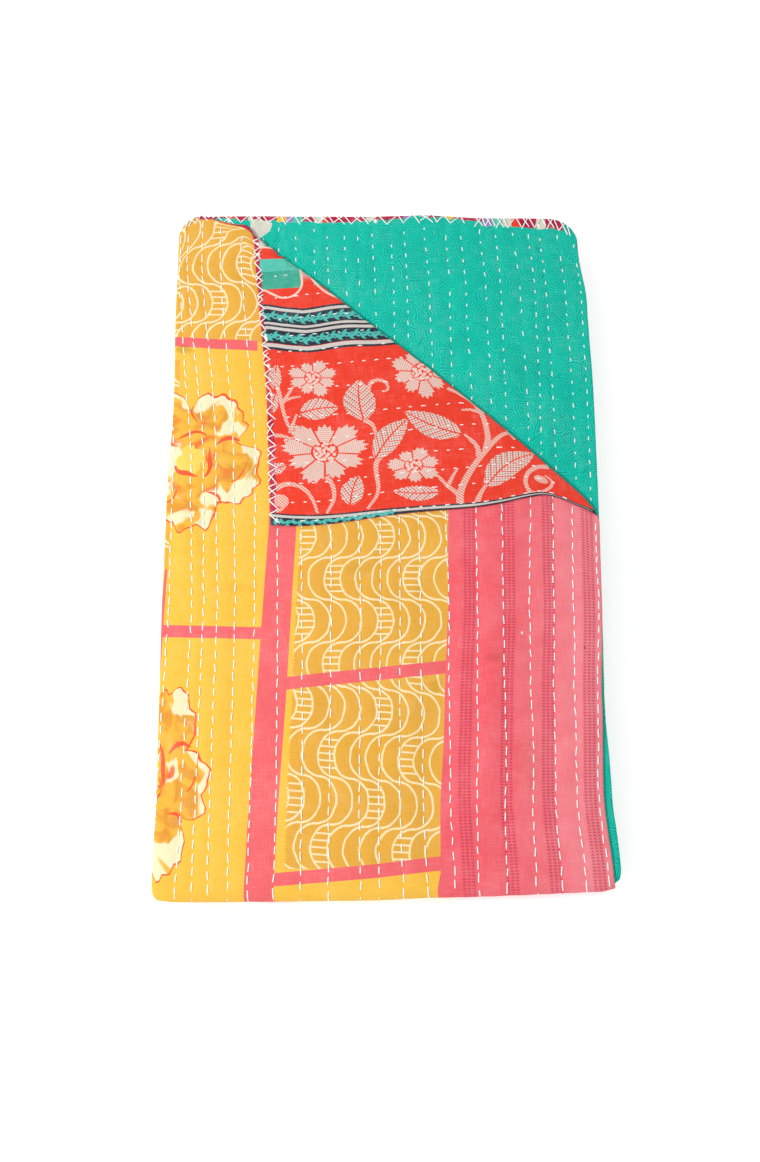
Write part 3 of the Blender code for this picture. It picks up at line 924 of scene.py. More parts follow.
def lattice(front):
    """Coarse points all over the cloth, and fine ones on the areas of this face that show."""
    whole_cloth = np.stack(np.meshgrid(np.arange(14, U_END - 4, COARSE_STEP),
                                       np.arange(2, V_END - 4, COARSE_STEP)), -1).reshape(-1, 2)
    leaf_end, stack_end, far = LEAF_MM - 1, STACK_MM - 1, 1e9
    # u from and to, v from and to, step, least and most past the crease
    areas = ((2, leaf_end, -8, 290, FLAP_STEP, -4, far),
             (leaf_end + 6, 2 * leaf_end + 5, -8, 300, FINE_STEP, -8, far))
    if front:
        areas = ((2, leaf_end, -8, stack_end, FINE_STEP, -far, 5),
                 (2, leaf_end, 3 * STACK_PERIOD / MM + 2, V_END - 2, UNDER_STEP, -far, far))
    return whole_cloth, np.concatenate([row_lattice(*area) for area in areas])


# %% [markdown]
# The outlines are split into short steps where the face shows, so that they follow the relief.
# A lattice point that falls almost on an outline would only make slivers, so it is dropped.

# %% Triangulate one side
OUTLINE_CLEARANCE, FOLD_CLEARANCE, COARSE_CLEARANCE = 1.1, 3.0, 8.0
FRONT_SHOWN_U, TOP_SHOWN_V, UNDER_SHOWN_V = 352, 562, 1660
BACK_SHOWN_U, BACK_SHOWN_V = 700, 305


def shown(points, front):
    """Whether flat places lie where the face can be seen on the packet."""
    u, v = points[:, 0], points[:, 1]
    if front:
        return (u < FRONT_SHOWN_U) & ((v < TOP_SHOWN_V) | (v > UNDER_SHOWN_V))
    return (u < BACK_SHOWN_U) & (v < BACK_SHOWN_V)


def hemmed(points):
    """Points kept inside the sheet's own narrow rim."""
    return np.clip(points, HEM_LOW, HEM_HIGH)


def split(points, front):
    """The outline with its long edges cut into steps that suit the place."""
    points = hemmed(points)
    follow = np.roll(points, -1, 0)
    found = []
    for start, end, fine in zip(points, follow, shown((points + follow) / 2, front)):
        pieces = max(1, int(np.linalg.norm(end - start) / (FINE_STEP if fine else COARSE_STEP)))
        found.append(start + (end - start) * (np.arange(pieces) / pieces)[:, None])
    return np.concatenate(found)


def cells(points, size):
    return np.floor(points / size).astype(np.int64) @ np.array((100003, 1))


def clear_of(points, others, distance):
    """The points with no other point within about this distance."""
    around = [np.array((x, y)) * distance for x in (-1, 0, 1) for y in (-1, 0, 1)]
    taken = [cells(others + off, distance) for off in around]
    return points[~np.isin(cells(points, distance), np.unique(np.concatenate(taken)))]


def triangulated(side, front):
    """(points, triangles, border points in order) of one flat side."""
    loops = [border, hemmed(border)] + [split(points, front) for _, points, _ in side[1:]]
    closed = len(loops)
    loops += [hemmed(paired(u, V_STATIONS[::2])) for u in LEAF_TURNS]
    loops += [hemmed(paired(U_STATIONS[::2], v)) for v in STACK_TURNS]
    loops += crease_lines()
    drawn = np.concatenate(loops)
    coarse, fine = lattice(front)
    fine = clear_of(fine, drawn, OUTLINE_CLEARANCE)
    coarse = clear_of(clear_of(coarse, drawn, FOLD_CLEARANCE), fine, COARSE_CLEARANCE)
    edges, at = [], 0
    for number, line in enumerate(loops):
        steps = np.arange(at, at + len(line))
        pairs = paired(steps, np.roll(steps, -1))
        edges.append(pairs if number < closed else pairs[:-1])
        at += len(line)
    points = np.concatenate([drawn, fine, coarse])
    flat, _, triangles, sources, *_ = delaunay_2d_cdt(
        [Vector(point) for point in points.tolist()], np.concatenate(edges).tolist(), [], 0, 1e-3, True)
    place = {source: number for number, group in enumerate(sources) for source in group}
    rim = np.array([place[number] for number in range(len(border))])
    return np.array([tuple(point) for point in flat]), np.array(triangles), rim


# %% Give each triangle the finish of the last patch that covers it
def within(points, edge_loop):
    x, y = points[:, 0], points[:, 1]
    hit = np.zeros(len(points), bool)
    for (x0, y0), (x1, y1) in zip(edge_loop, np.roll(edge_loop, -1, 0)):
        if y0 != y1:
            hit ^= ((y0 > y) != (y1 > y)) & (x < (x1 - x0) * (y - y0) / (y1 - y0) + x0)
    return hit


def covered_by(side, flat, triangles):
    middle = np.clip(flat[triangles].mean(1), HEM_LOW + 0.05, HEM_HIGH - 0.05)
    owner = np.zeros(len(triangles), int)
    for number, (_, points, _) in enumerate(side[1:], 1):
        edge_loop = hemmed(points)
        near = np.flatnonzero(((middle >= edge_loop.min(0)) & (middle <= edge_loop.max(0))).all(1))
        owner[near[within(middle[near], edge_loop)]] = number
    return owner


SIDES = []
for side, front in ((FRONT, True), (BACK, False)):
    flat, triangles, rim = triangulated(side, front)
    SIDES.append((side, front, flat, triangles, rim, covered_by(side, flat, triangles)))
    print("front:" if front else "back:", len(flat), "points,", len(triangles), "triangles")

# %% [markdown]
# ## One closed cloth
# The two sides are lifted to their heights, folded, and joined round the hem, which makes a closed
# thin body as real cloth is. Three UV maps go with it: `cloth` holds flat places in metres,
# `pattern` holds each patch's own places, and `OFBake` lays both sides out in one square for a
# texture, with the sides that show drawn large and the hidden leaves small.

# %% The layout square
LAYOUT = (
    # front side?, u from, to, v from, to (mm), then left, foot, width, height in the square, turned?
    (True, 0, 350, -10.5, 559, 0.002, 0.302, 0.430, 0.696, False),
    (True, 0, 350, 1668, 2222, 0.002, 0.003, 0.484, 0.292, True),
    (False, 0, 300, -10.5, 262, 0.435, 0.324, 0.384, 0.323, False),
    (False, 340, 697, -10.5, 283, 0.435, 0.650, 0.424, 0.348, False),
    (True, 0, U_END, V_START, V_END, 0.864, 0.302, 0.134, 0.696, False),
    (False, 0, U_END, V_START, V_END, 0.490, 0.003, 0.508, 0.292, True),
)
TURN_ROOM = 9.0


def roomy(values, turns, low, high):
    """Places from 0 to 1 that give the fold turns more room than the flats between them."""
    knots = [edge for turn in turns.reshape(LEAVES - 1, -1) for edge in (turn[0] - 2, turn[-1] + 2)]
    knots = [low] + knots + [high]
    room = np.diff(knots) * np.array([1, TURN_ROOM] * (LEAVES - 1) + [1])
    return np.interp(values, knots, np.concatenate([[0], np.cumsum(room)]) / room.sum())


def laid_out(corners, front):
    """The layout place of each triangle corner, chosen by the block that its triangle lies in."""
    middle = corners.mean(1)
    blocks = [row for row in LAYOUT if row[0] == front]
    result = np.zeros_like(corners)
    free = np.ones(len(corners), bool)
    for number, (_, u0, u1, v0, v1, left, foot, width, height, turned) in enumerate(blocks):
        here = free & ((middle >= (u0, v0)) & (middle <= (u1, v1))).all(1)
        free &= ~here
        u, v = corners[here, :, 0], corners[here, :, 1]
        if number == len(blocks) - 1:
            x, y = roomy(u, LEAF_TURNS, 0, U_END), roomy(v, STACK_TURNS, V_START, V_END)
        else:
            x, y = np.clip((u - u0) / (u1 - u0), 0, 1), np.clip((v - v0) / (v1 - v0), 0, 1)
        if turned:
            x, y = y, x
        result[here] = paired(left + width * x, foot + height * y)
    return result


# %% Fold both sides and join them round the hem
points, faces, finishes, rims, start = [], [], [], [], 0
uv_maps = {"cloth": [], "pattern": [], "OFBake": []}
for side, front, flat, triangles, rim, owner in SIDES:
    height = face_height(flat[:, 0], flat[:, 1], front)
    points.append(placed(flat[:, 0], flat[:, 1], height if front else -height))
    corners = flat[triangles]
    own = corners.copy()
    for number, (_, _, local) in enumerate(side):
        if local is not None:
            mine = owner == number
            own[mine] = local(corners[mine].reshape(-1, 2)).reshape(-1, 3, 2)
    order = (0, 1, 2) if front else (2, 1, 0)
    faces.append(triangles[:, order] + start)
    finishes.append(np.array([finish for finish, _, _ in side])[owner])
    for uv_map, values in zip(uv_maps.values(), (corners * MM, own * MM, laid_out(corners, front))):
        uv_map.append(values[:, order])
    rims.append(rim + start)
    start += len(flat)

front_rim, back_rim = rims
next_front, next_back = np.roll(front_rim, -1), np.roll(back_rim, -1)
hem_faces = np.concatenate([np.stack([front_rim, back_rim, next_back], -1),
                            np.stack([front_rim, next_back, next_front], -1)])
hem_corners = np.concatenate([SIDES[0][2], SIDES[1][2]])[hem_faces]
hem_layout = paired(0.998 + 0.001 * (hem_faces >= len(SIDES[0][2])),
                    0.30 + hem_corners[..., 1] / V_END * 0.69)
faces.append(hem_faces)
finishes.append(np.full(len(hem_faces), "magenta_scrap"))
for uv_map, values in zip(uv_maps.values(), (hem_corners * MM, hem_corners * MM, hem_layout)):
    uv_map.append(values)
points, faces, finishes = np.concatenate(points), np.concatenate(faces), np.concatenate(finishes)
print(len(faces), "triangles in the folded cloth")

# %% [markdown]
# Cutting the outlines leaves some slivers, and shading by angle would show them as dark smudges.
# So each point's normal is the mean of the faces round it, weighted by their areas.

# %% Make the mesh with its UV maps and normals
FINISHES = sorted(set(finishes))
cloth_mesh = bpy.data.meshes.new("kantha_cloth")
cloth_mesh.from_pydata(points.tolist(), [], faces.tolist())
for name, values in uv_maps.items():
    layer = cloth_mesh.uv_layers.new(name=name)
    layer.data.foreach_set("uv", np.concatenate(values).astype(np.float32).ravel())
cloth_mesh.polygons.foreach_set("material_index", np.searchsorted(FINISHES, finishes).astype(np.int32))
cloth_mesh.shade_smooth()
cloth_mesh.update()
corners = points[faces]
facing = np.cross(corners[:, 1] - corners[:, 0], corners[:, 2] - corners[:, 0])
normals = np.zeros_like(points)
for corner in range(3):
    np.add.at(normals, faces[:, corner], facing)
normals /= np.linalg.norm(normals, axis=1)[:, None]
cloth_mesh.normals_split_custom_set_from_vertices(normals.tolist())
cloth = bpy.data.objects.new("kantha_cloth", cloth_mesh)
bpy.context.scene.collection.objects.link(cloth)
print("finishes:", ", ".join(FINISHES))

# %% [markdown]
# ## Cotton finishes
# All the pieces are the same kind of cloth: a thin, washed, matt cotton. What differs is the dye and
# the print. So the weave and the fading of the dye are shader groups used by every finish, and each
# print adds a few nodes of its own. Patterns are worked out from flat places in metres, which keeps
# them at their real size and lets them bend with the folds. A print is mostly sums, and one node for
# each sum reads badly, so a `Wire` adds its own Math node wherever it is reckoned with.

# %% Small helpers for building node trees
class Wire:
    """A node's output that can be reckoned with: each sum or product adds a Math node."""
    def __init__(self, socket):
        self.socket = socket

    def also(self, name):
        """Another output of the same node."""
        return Wire(self.socket.node.outputs[name])


def srgb(red, green, blue):
    """A linear colour from the usual 0 to 1 screen values."""
    return tuple(((value + 0.055) / 1.055) ** 2.4 if value > 0.04 else value / 12.92
                 for value in (red, green, blue)) + (1.0,)


def fill(made, inputs):
    """Fills a node's inputs with wires, numbers or screen colours."""
    for name, value in inputs.items():
        socket = made.inputs[name]
        if isinstance(value, Wire):
            made.id_data.links.new(value.socket, socket)
        else:
            socket.default_value = srgb(*value) if socket.type == "RGBA" else value


def node(kind, inputs=(), out=0, tree=None, **settings):
    """Adds a node with its inputs filled, in the tree of its first wire, and gives back one output."""
    inputs = inputs if isinstance(inputs, dict) else dict(enumerate(inputs))
    tree = tree or next(value.socket.id_data for value in inputs.values() if isinstance(value, Wire))
    made = tree.nodes.new(kind if kind.startswith("Geometry") else "ShaderNode" + kind)
    for name, value in settings.items():
        setattr(made, name, value)
    fill(made, inputs)
    return Wire(made.outputs[out])


def maths(operation, *values):
    return node("Math", values, operation=operation)


OPERATIONS = {"add": "ADD", "sub": "SUBTRACT", "mul": "MULTIPLY", "truediv": "DIVIDE", "mod": "MODULO",
              "lt": "LESS_THAN", "gt": "GREATER_THAN", "abs": "ABSOLUTE"}
for name, operation in OPERATIONS.items():
    setattr(Wire, f"__{name}__", lambda self, *others, kind=operation: maths(kind, self, *others))
    setattr(Wire, f"__r{name}__", lambda self, other, kind=operation: maths(kind, other, self))


def blend(share, first, second, kind="MIX"):
    return node("Mix", {0: share, 6: first, 7: second}, 2, data_type="RGBA", blend_type=kind)


def step_up(value, start, end):
    """0 below start, 1 above end, smooth between."""
    return node("MapRange", (value, start, end), interpolation_type="SMOOTHSTEP")


def noise(place, scale, detail=2.0, stretch=(1.0, 1.0, 1.0), out="Fac"):
    place = node("Mapping", {"Vector": place, "Scale": stretch})
    return node("TexNoise", {"Vector": place, "Scale": scale, "Detail": detail}, out)


def split_place(place):
    x = node("SeparateXYZ", (place,))
    return x, x.also(1)


def new_group(name, inputs, outputs, tree_kind="ShaderNodeTree"):
    """A node group with named sockets: the tree, a reader of its inputs and a writer of its outputs."""
    tree = bpy.data.node_groups.new(name, tree_kind)
    for label, kind, value in inputs:
        socket = tree.interface.new_socket(label, socket_type="NodeSocket" + kind)
        if value is not None:
            socket.default_value = value
    for label, kind in outputs:
        tree.interface.new_socket(label, in_out="OUTPUT", socket_type="NodeSocket" + kind)
    source, target = tree.nodes.new("NodeGroupInput"), tree.nodes.new("NodeGroupOutput")
    return tree, lambda label: Wire(source.outputs[label]), lambda **wires: fill(target, wires)


# %% [markdown]
# The weave is a plain one: warp and weft cross at an even pitch, and each thread swells and thins a
# little (slubs). It gives a height for the bump and a shade for the colour. Fading is a slow,
# cloudy change in how deep the dye is, plus a fine fleck from the threads and a few old water stains.

# %% Group: the plain weave
SLUB_SCALE = 1100.0
weave, get, put = new_group(
    "plain_weave",
    (("Place", "Vector", None), ("Threads per metre", "Float", 1700.0)),
    (("Height", "Float"), ("Shade", "Float")))
across, down = split_place(get("Place"))
turn_rate = get("Threads per metre") * PI
crossing = maths("SINE", across * turn_rate) * maths("SINE", down * turn_rate)
slub = (noise(get("Place"), SLUB_SCALE, 1.0, (1.0, 0.07, 1.0))
        + noise(get("Place"), SLUB_SCALE, 1.0, (0.07, 1.0, 1.0)))
put(Height=abs(crossing) * 0.35 + slub, Shade=slub - 1.0)

# %% Group: the faded dye
STAINS = (
    # u, v, reach in u, reach in v (millimetres), strength
    (337, 112, 9, 4, 0.70), (286, 316, 24, 5, 0.16), (129, 394, 7, 6, 0.32), (144, 317, 5, 6, 0.20),
    (84, 372, 9, 4, 0.28), (190, 300, 14, 6, 0.22), (60, 452, 14, 22, 0.12),
)
STAIN_COLOUR = (0.80, 0.82, 0.66)
fading, get, put = new_group(
    "faded_dye",
    (("Place", "Vector", None), ("Dye", "Color", None), ("Cloudy", "Float", 0.10),
     ("Fleck", "Float", 0.5), ("Shade", "Float", 0.0)),
    (("Colour", "Color"),))
blotch = noise(get("Place"), 120.0, 3.0)
change = (noise(get("Place"), 26.0, 4.0) - 0.5) * 2.0 + (blotch - 0.5)
change = change * get("Cloudy") + get("Shade") * get("Fleck")
paler = blend(change * 0.9, get("Dye"), (1, 1, 1))
faded = blend(change > 0.0, blend(change * -1.3, get("Dye"), (0, 0, 0)), paler)
far_u, far_v = split_place(get("Place"))
ragged = (blotch - 0.5) * 1.6
stained = 0.0
for u, v, reach_u, reach_v, strength in STAINS:
    off_u = (far_u - u * MM) * (1 / (reach_u * MM))
    off_v = (far_v - v * MM) * (1 / (reach_v * MM))
    here = (1.0 - step_up(off_u * off_u + off_v * off_v + ragged, 0.1, 1.3)) * strength
    stained = maths("MAXIMUM", stained, here)
put(Colour=blend(stained, faded, STAIN_COLOUR, "MULTIPLY"))
print("groups:", weave.name, fading.name, "with", len(STAINS), "small stains")

# %% [markdown]
# Each finish is a material with one Principled shader. The helper makes the parts they share: the
# places to read, the weave's bump, a dry roughness and a faint sheen from loose fibres. The print
# itself is a function that returns the colour before fading. It is given two sets of places in
# metres: `flat` on the flat cloth, and `own` as the patch's own pattern reads them.

# %% A cotton material
COTTON = {"Roughness": 0.92, "Specular IOR Level": 0.1, "Sheen Weight": 0.04, "Sheen Roughness": 0.6}
WEAVE_BUMP = 0.00014


def new_material(name):
    material = bpy.data.materials.new(name)
    material.use_nodes = True
    return material, material.node_tree.nodes["Principled BSDF"]


def cotton(name, colour, cloudy, fleck):
    """A cotton finish. Its colour is a screen colour or a print."""
    material, shader = new_material(name)
    flat, own = (node("UVMap", tree=material.node_tree, uv_map=layer) for layer in ("cloth", "pattern"))
    shade = node("Group", {"Place": flat}, "Shade", node_tree=weave)
    dye = colour(flat, own) if callable(colour) else colour
    dyed = node("Group", {"Place": flat, "Dye": dye, "Cloudy": cloudy, "Fleck": fleck,
                          "Shade": shade}, node_tree=fading)
    bump = node("Bump", {"Strength": 0.6, "Distance": WEAVE_BUMP, "Height": shade.also("Height")})
    fill(shader, COTTON | {"Base Color": dyed, "Normal": bump})
    return material


# %% [markdown]
# The serpentine print is a set of half circles that swing left and right. In its own places, `x`
# runs to the right and `y` down from the middle of a right-hand bulge. A point's distance from the
# nearest half circle gives the line, and every fifth lane has rungs like a ladder.

# %% Print: serpentine lines with ladder rungs
WAVE_GAP, WAVE_RADIUS, WAVE_LINE, WAVE_SQUEEZE = 0.01425, 0.0172, 0.0016, 0.87
RUNG_PITCH, RUNG_REACH, RUNG_LINE, LANES = 0.0052, 0.0125, 0.0014, 5
MUSTARD, DEEP_MUSTARD, WAVE_CREAM = (0.915, 0.69, 0.27), (0.85, 0.625, 0.235), (0.965, 0.915, 0.755)


def wave_colours(flat, own):
    x, y = split_place(own)
    x = x / WAVE_SQUEEZE + (noise(flat, 90.0, 1.0) - 0.5) * 0.0030
    y = y + WAVE_RADIUS
    half_turn = maths("FLOOR", y / (2 * WAVE_RADIUS))
    local_y = y - half_turn * (2 * WAVE_RADIUS) - WAVE_RADIUS
    swing = 1.0 - (half_turn + 400.0) % 2.0 * 2.0
    bulge = maths("SQRT", maths("MAXIMUM", WAVE_RADIUS**2 - local_y * local_y, 0.0))
    shifted = (x - bulge * swing) / WAVE_GAP
    from_centre = x - maths("ROUND", shifted) * WAVE_GAP
    off = abs(maths("SQRT", from_centre * from_centre + local_y * local_y) - WAVE_RADIUS)
    line = 1.0 - step_up(off, WAVE_LINE * 0.32, WAVE_LINE * 0.68)
    lane = maths("FLOOR", shifted) + (1.0 - swing) * 0.5
    in_lane = (lane + 1000.0) % float(LANES) < 0.5
    rung = abs(maths("FRACT", local_y / RUNG_PITCH + 100.5) - 0.5)
    rung = 1.0 - step_up(rung, RUNG_LINE / RUNG_PITCH * 0.32, RUNG_LINE / RUNG_PITCH * 0.62)
    mask = maths("MAXIMUM", line, rung * (in_lane * (abs(local_y) < RUNG_REACH)))
    worn = 0.50 + noise(flat, 300.0, 2.0) * 0.6
    return blend(mask * worn, blend(noise(flat, 30.0, 3.0), MUSTARD, DEEP_MUSTARD), WAVE_CREAM)


# %% [markdown]
# The pink cotton has bands of small dashes, three columns to a band, and grows paler away
# from the seam. The teal cotton is covered with a maze of nested lines. Each small tile of it holds
# rings, chevrons or rays about a centre, and a Voronoi pattern gives both the tiles
# and the distance from each centre.

# %% Print: dotted stripes
BAND_PITCH, BAND_START, COLUMN_PITCH, DASH_PITCH = 0.0312, 0.0101, 0.0034, 0.0024
PINK, PALE_PINK = (0.93, 0.36, 0.40), (0.94, 0.54, 0.575)
BAND_PINK, DASH_PINK = (0.86, 0.32, 0.39), (0.74, 0.20, 0.32)


def near_repeat(value, pitch, start=0.0):
    """Distance from the nearest multiple of the pitch, as a share of it from 0 to 0.5."""
    return abs(maths("FRACT", (value - start) / pitch + 1000.5) - 0.5)


def pink_colours(flat, own):
    x, y = split_place(own)
    from_band = near_repeat(x, BAND_PITCH, BAND_START) * BAND_PITCH
    column, dash = near_repeat(from_band, COLUMN_PITCH), near_repeat(y, DASH_PITCH)
    dot = (1.0 - step_up(column, 0.24, 0.36)) * (1.0 - step_up(dash, 0.18, 0.32))
    dot = dot * (from_band < COLUMN_PITCH * 1.5)
    paler = 1.0 - step_up(x, 0.004, 0.085)
    ground = blend(paler * 0.7 + noise(flat, 38.0, 4.0) * 0.8 - 0.25, PINK, PALE_PINK)
    ground = blend((1.0 - step_up(from_band, 0.004, 0.0062)) * 0.25, ground, BAND_PINK)
    return blend(dot * 0.68, ground, DASH_PINK)


# %% Print: the teal maze
MAZE_TILE, MAZE_LINE = 0.0150, 0.0020
TEAL, BRIGHT_TEAL = (0.0, 0.685, 0.60), (0.0, 0.75, 0.66)
PALE_TEAL, GREY_TEAL = (0.08, 0.86, 0.74), (0.13, 0.48, 0.48)


def maze_colours(flat, own):
    swirl = noise(flat, 95.0, 0.0, out="Color")
    swirl = node("VectorMath", (swirl, (0.5, 0.5, 0.5)), operation="SUBTRACT")
    swirl = node("VectorMath", {0: swirl, "Scale": 0.0045}, operation="SCALE")
    bent = node("VectorMath", (flat, swirl), operation="ADD")
    tiles, squares = (node("TexVoronoi", {"Vector": bent, "Scale": 1.0 / MAZE_TILE}, "Distance",
                           voronoi_dimensions="2D", distance=kind) for kind in ("EUCLIDEAN", "MANHATTAN"))
    pick = node("SeparateColor", (tiles.also("Color"),))
    is_square = pick > 0.55
    reach = tiles * (1.0 - is_square) + squares * (is_square * 0.8)
    rings = maths("SINE", reach * (2 * PI * MAZE_TILE / MAZE_LINE))
    ground = blend(noise(flat, 34.0, 3.0), TEAL, BRIGHT_TEAL)
    lined = blend(step_up(rings, 0.1, 0.8) * 0.60, ground, PALE_TEAL)
    return blend(step_up(rings * -1.0, 0.45, 1.0) * (0.42 + pick.also(1) * 0.45), lined, GREY_TEAL)


# %% [markdown]
# The red cotton's pale motifs are woven or printed in fine texture: petals are hatched along their
# width, leaves have rows of dark dots and slanting veins, and stems have slanting stripes.

# %% Prints for petals, leaves, stems and seeds
PALE, INK_RED, DOT_DARK = (0.90, 0.78, 0.73), (0.90, 0.25, 0.18), (0.40, 0.24, 0.26)
HATCH_RED, STRIPE_RED = (0.76, 0.38, 0.34), (0.90, 0.36, 0.28)
HATCH_PITCH, DOT_PITCH, VEIN_PITCH, STRIPE_PITCH = 0.0018, 0.0031, 0.0062, 0.0021


def petal_colours(flat, own):
    x, y = split_place(own)
    hatch = near_repeat(x + maths("SINE", y * 2600.0) * 0.0002, HATCH_PITCH)
    return blend(step_up(hatch, 0.30, 0.46) * 0.75, PALE, HATCH_RED)


def leaf_colours(flat, own):
    x, y = split_place(own)
    vein = 1.0 - step_up(near_repeat(x - abs(y) * 0.9, VEIN_PITCH), 0.05, 0.11)
    dot = maths("MAXIMUM", near_repeat(x + y, DOT_PITCH), near_repeat(x - y, DOT_PITCH))
    dotted = blend((1.0 - step_up(dot, 0.18, 0.31)) * 0.85, PALE, DOT_DARK)
    return blend(vein * 0.9, dotted, INK_RED)


def stem_colours(flat, own):
    x, y = split_place(flat)
    stripe = near_repeat(x * 0.72 + y * 0.69, STRIPE_PITCH)
    return blend(step_up(stripe, 0.20, 0.34) * 0.8, PALE, STRIPE_RED)


def seed_colours(flat, own):
    seeds = node("TexVoronoi", {"Vector": own, "Scale": 340.0}, voronoi_dimensions="2D")
    return blend(1.0 - step_up(seeds, 0.40, 0.55), INK_RED, PALE)


# %% [markdown]
# Inside the blooms the colours run into each other: cream in long patches, amber between them, and
# orange breathed on near the heart. Their pattern places give the distance from the middle, from 0
# to 1 at the tips. A domain warp (noise that moves the places another noise reads) makes the
# patches curl like wet paint.

# %% Prints for the blooms and the fading white piece
AMBER, DEEP_AMBER = (0.93, 0.70, 0.26), (0.86, 0.60, 0.22)
BLOOM_CREAM, FLAME = (0.91, 0.885, 0.72), (0.94, 0.42, 0.22)
FADE_RED, FADE_WHITE = (0.92, 0.25, 0.18), (0.80, 0.79, 0.76)


def bloom_colours(flat, own):
    x, y = split_place(own)
    reach = maths("SQRT", x * x + y * y) * 10.0
    warp = noise(flat, 42.0, 1.0, out="Color")
    moved = node("VectorMath", (warp, (0.030, 0.030, 0.0), flat), operation="MULTIPLY_ADD")
    patches, shades = noise(moved, 46.0, 2.0, (1.0, 0.62, 1.0)), noise(moved, 70.0, 2.0)
    cream = step_up(patches + step_up(reach, 0.55, 0.85) * 0.09, 0.53, 0.585)
    colour = blend(cream, blend(step_up(shades, 0.42, 0.60), AMBER, DEEP_AMBER), BLOOM_CREAM)
    flame = maths("MAXIMUM", step_up(shades, 0.52, 0.68) - step_up(reach, 0.30, 0.75), 0.0)
    return blend(flame, colour, FLAME)


def fading_colours(flat, own):
    return blend(step_up(split_place(own)[0], -0.001, 0.012), FADE_RED, FADE_WHITE)


# %% Make the finishes
FINISH_MAKERS = {
    # name: (screen colour or print, cloudiness, fleck)
    "bloom_heart": ((0.96, 0.80, 0.36), 0.12, 0.12),
    "bloom_line": ((0.93, 0.36, 0.22), 0.16, 0.14),
    "bloom_wash": (bloom_colours, 0.08, 0.12),
    "coral_bar": ((0.918, 0.402, 0.418), 0.10, 0.16),
    "cream_line": ((0.94, 0.80, 0.73), 0.06, 0.12),
    "dark_line": ((0.17, 0.20, 0.24), 0.12, 0.25),
    "fading_white": (fading_colours, 0.10, 0.14),
    "green_block": ((0.25, 0.66, 0.56), 0.16, 0.25),
    "grey_line": ((0.80, 0.77, 0.74), 0.12, 0.20),
    "leaf_dots": (leaf_colours, 0.06, 0.14),
    "lilac_scrap": ((0.62, 0.52, 0.74), 0.20, 0.25),
    "magenta_scrap": ((0.72, 0.13, 0.29), 0.26, 0.30),
    "maze_print": (maze_colours, 0.05, 0.14),
    "pale_cotton": ((0.83, 0.83, 0.77), 0.14, 0.20),
    "petal_hatch": (petal_colours, 0.06, 0.14),
    "pink_stripes": (pink_colours, 0.07, 0.16),
    "red_cotton": ((0.905, 0.245, 0.17), 0.08, 0.16),
    "seeded_disc": (seed_colours, 0.06, 0.12),
    "stem_hatch": (stem_colours, 0.06, 0.12),
    "teal_block": ((0.34, 0.76, 0.68), 0.16, 0.20),
    "vine_leaf": ((0.31, 0.72, 0.68), 0.12, 0.16),
    "wave_print": (wave_colours, 0.06, 0.14),
    "yellow_cotton": ((0.945, 0.736, 0.274), 0.06, 0.13),
}
for name in FINISHES:
    cloth_mesh.materials.append(cotton(name, *FINISH_MAKERS[name]))
print(len(FINISHES), "cotton finishes")

# %% [markdown]
# ## The sewing thread
# Kantha is all running stitch: long stitches show on the front and short ones on the back, in the
# gaps between the long ones. Each stitch dips into the cloth at both ends and stands a little proud
# in the middle. The needle's route is worked out on the flat cloth and folded with it, as a line of
# five points for each stitch; a Geometry Nodes tree then spins the thread along every line.

# %% Geometry Nodes: a thread along each line
THREAD_TREE, get, put = new_group(
    "sewing_thread",
    (("Lines", "Geometry", None), ("Thread width", "Float", 0.0012), ("Sides", "Int", 6),
     ("Unevenness", "Float", 0.2), ("Seed", "Float", 3.0), ("Finish", "Material", None)),
    (("Thread", "Geometry"),), "GeometryNodeTree")


def keep(curve, name, value):
    """Stores a value on a curve's points, for the thread's finish to read."""
    return node("GeometryNodeStoreNamedAttribute", {"Geometry": curve, "Name": name, "Value": value},
                data_type="FLOAT", domain="POINT")


def on_curve(output):
    return node("GeometryNodeSplineParameter", out=output, tree=THREAD_TREE)


lines = keep(node("GeometryNodeMeshToCurve", {"Mesh": get("Lines")}), "along", on_curve("Length"))
circle = node("GeometryNodeCurvePrimitiveCircle",
              {"Resolution": get("Sides"), "Radius": get("Thread width") * 0.5}, mode="RADIUS")
section = keep(circle, "around", on_curve("Factor"))
place = node("GeometryNodeInputPosition", tree=THREAD_TREE)
lumps = node("TexNoise", {"Vector": place, "W": get("Seed"), "Scale": 350.0, "Detail": 0.0},
             noise_dimensions="4D")
scale = maths("MULTIPLY_ADD", lumps - 0.5, get("Unevenness"), 1.0)
spun = node("GeometryNodeCurveToMesh",
            {"Curve": lines, "Profile Curve": section, "Scale": scale, "Fill Caps": True})
real = node("GeometryNodeRealizeInstances", (node("GeometryNodeSetShadeSmooth", (spun,)),))
put(Thread=node("GeometryNodeSetMaterial", {"Geometry": real, "Material": get("Finish")}))
print("tree:", THREAD_TREE.name, "with", len(THREAD_TREE.nodes), "nodes")

# %% [markdown]
# The thread is a loosely twisted white cotton. Its two plies show as a slanting stripe, which comes
# from the attributes that the tree stored: how far along the thread a point is, and how far round.
# The stripe is a bumped groove. Its slightly darker colour in the groove is painted shade.

# %% The thread's finish
PLY_TURN = 0.0017
thread_finish, shader = new_material("white_thread")
along, around = (node("Attribute", out="Fac", tree=thread_finish.node_tree, attribute_name=name)
                 for name in ("along", "around"))
groove = step_up(maths("SINE", (along / PLY_TURN + around) * (2 * PI)), -1.0, -0.3)
fill(shader, {
    # The slightly darker colour in the groove between the plies is painted shade; the bump gives the real
    # relief.
    "Base Color": blend(groove, (0.95, 0.94, 0.91), (1.0, 1.0, 0.985)),
    "Roughness": 0.8, "Sheen Weight": 0.15,
    "Normal": node("Bump", {"Distance": 0.0001, "Height": groove})})
print("finish:", thread_finish.name)

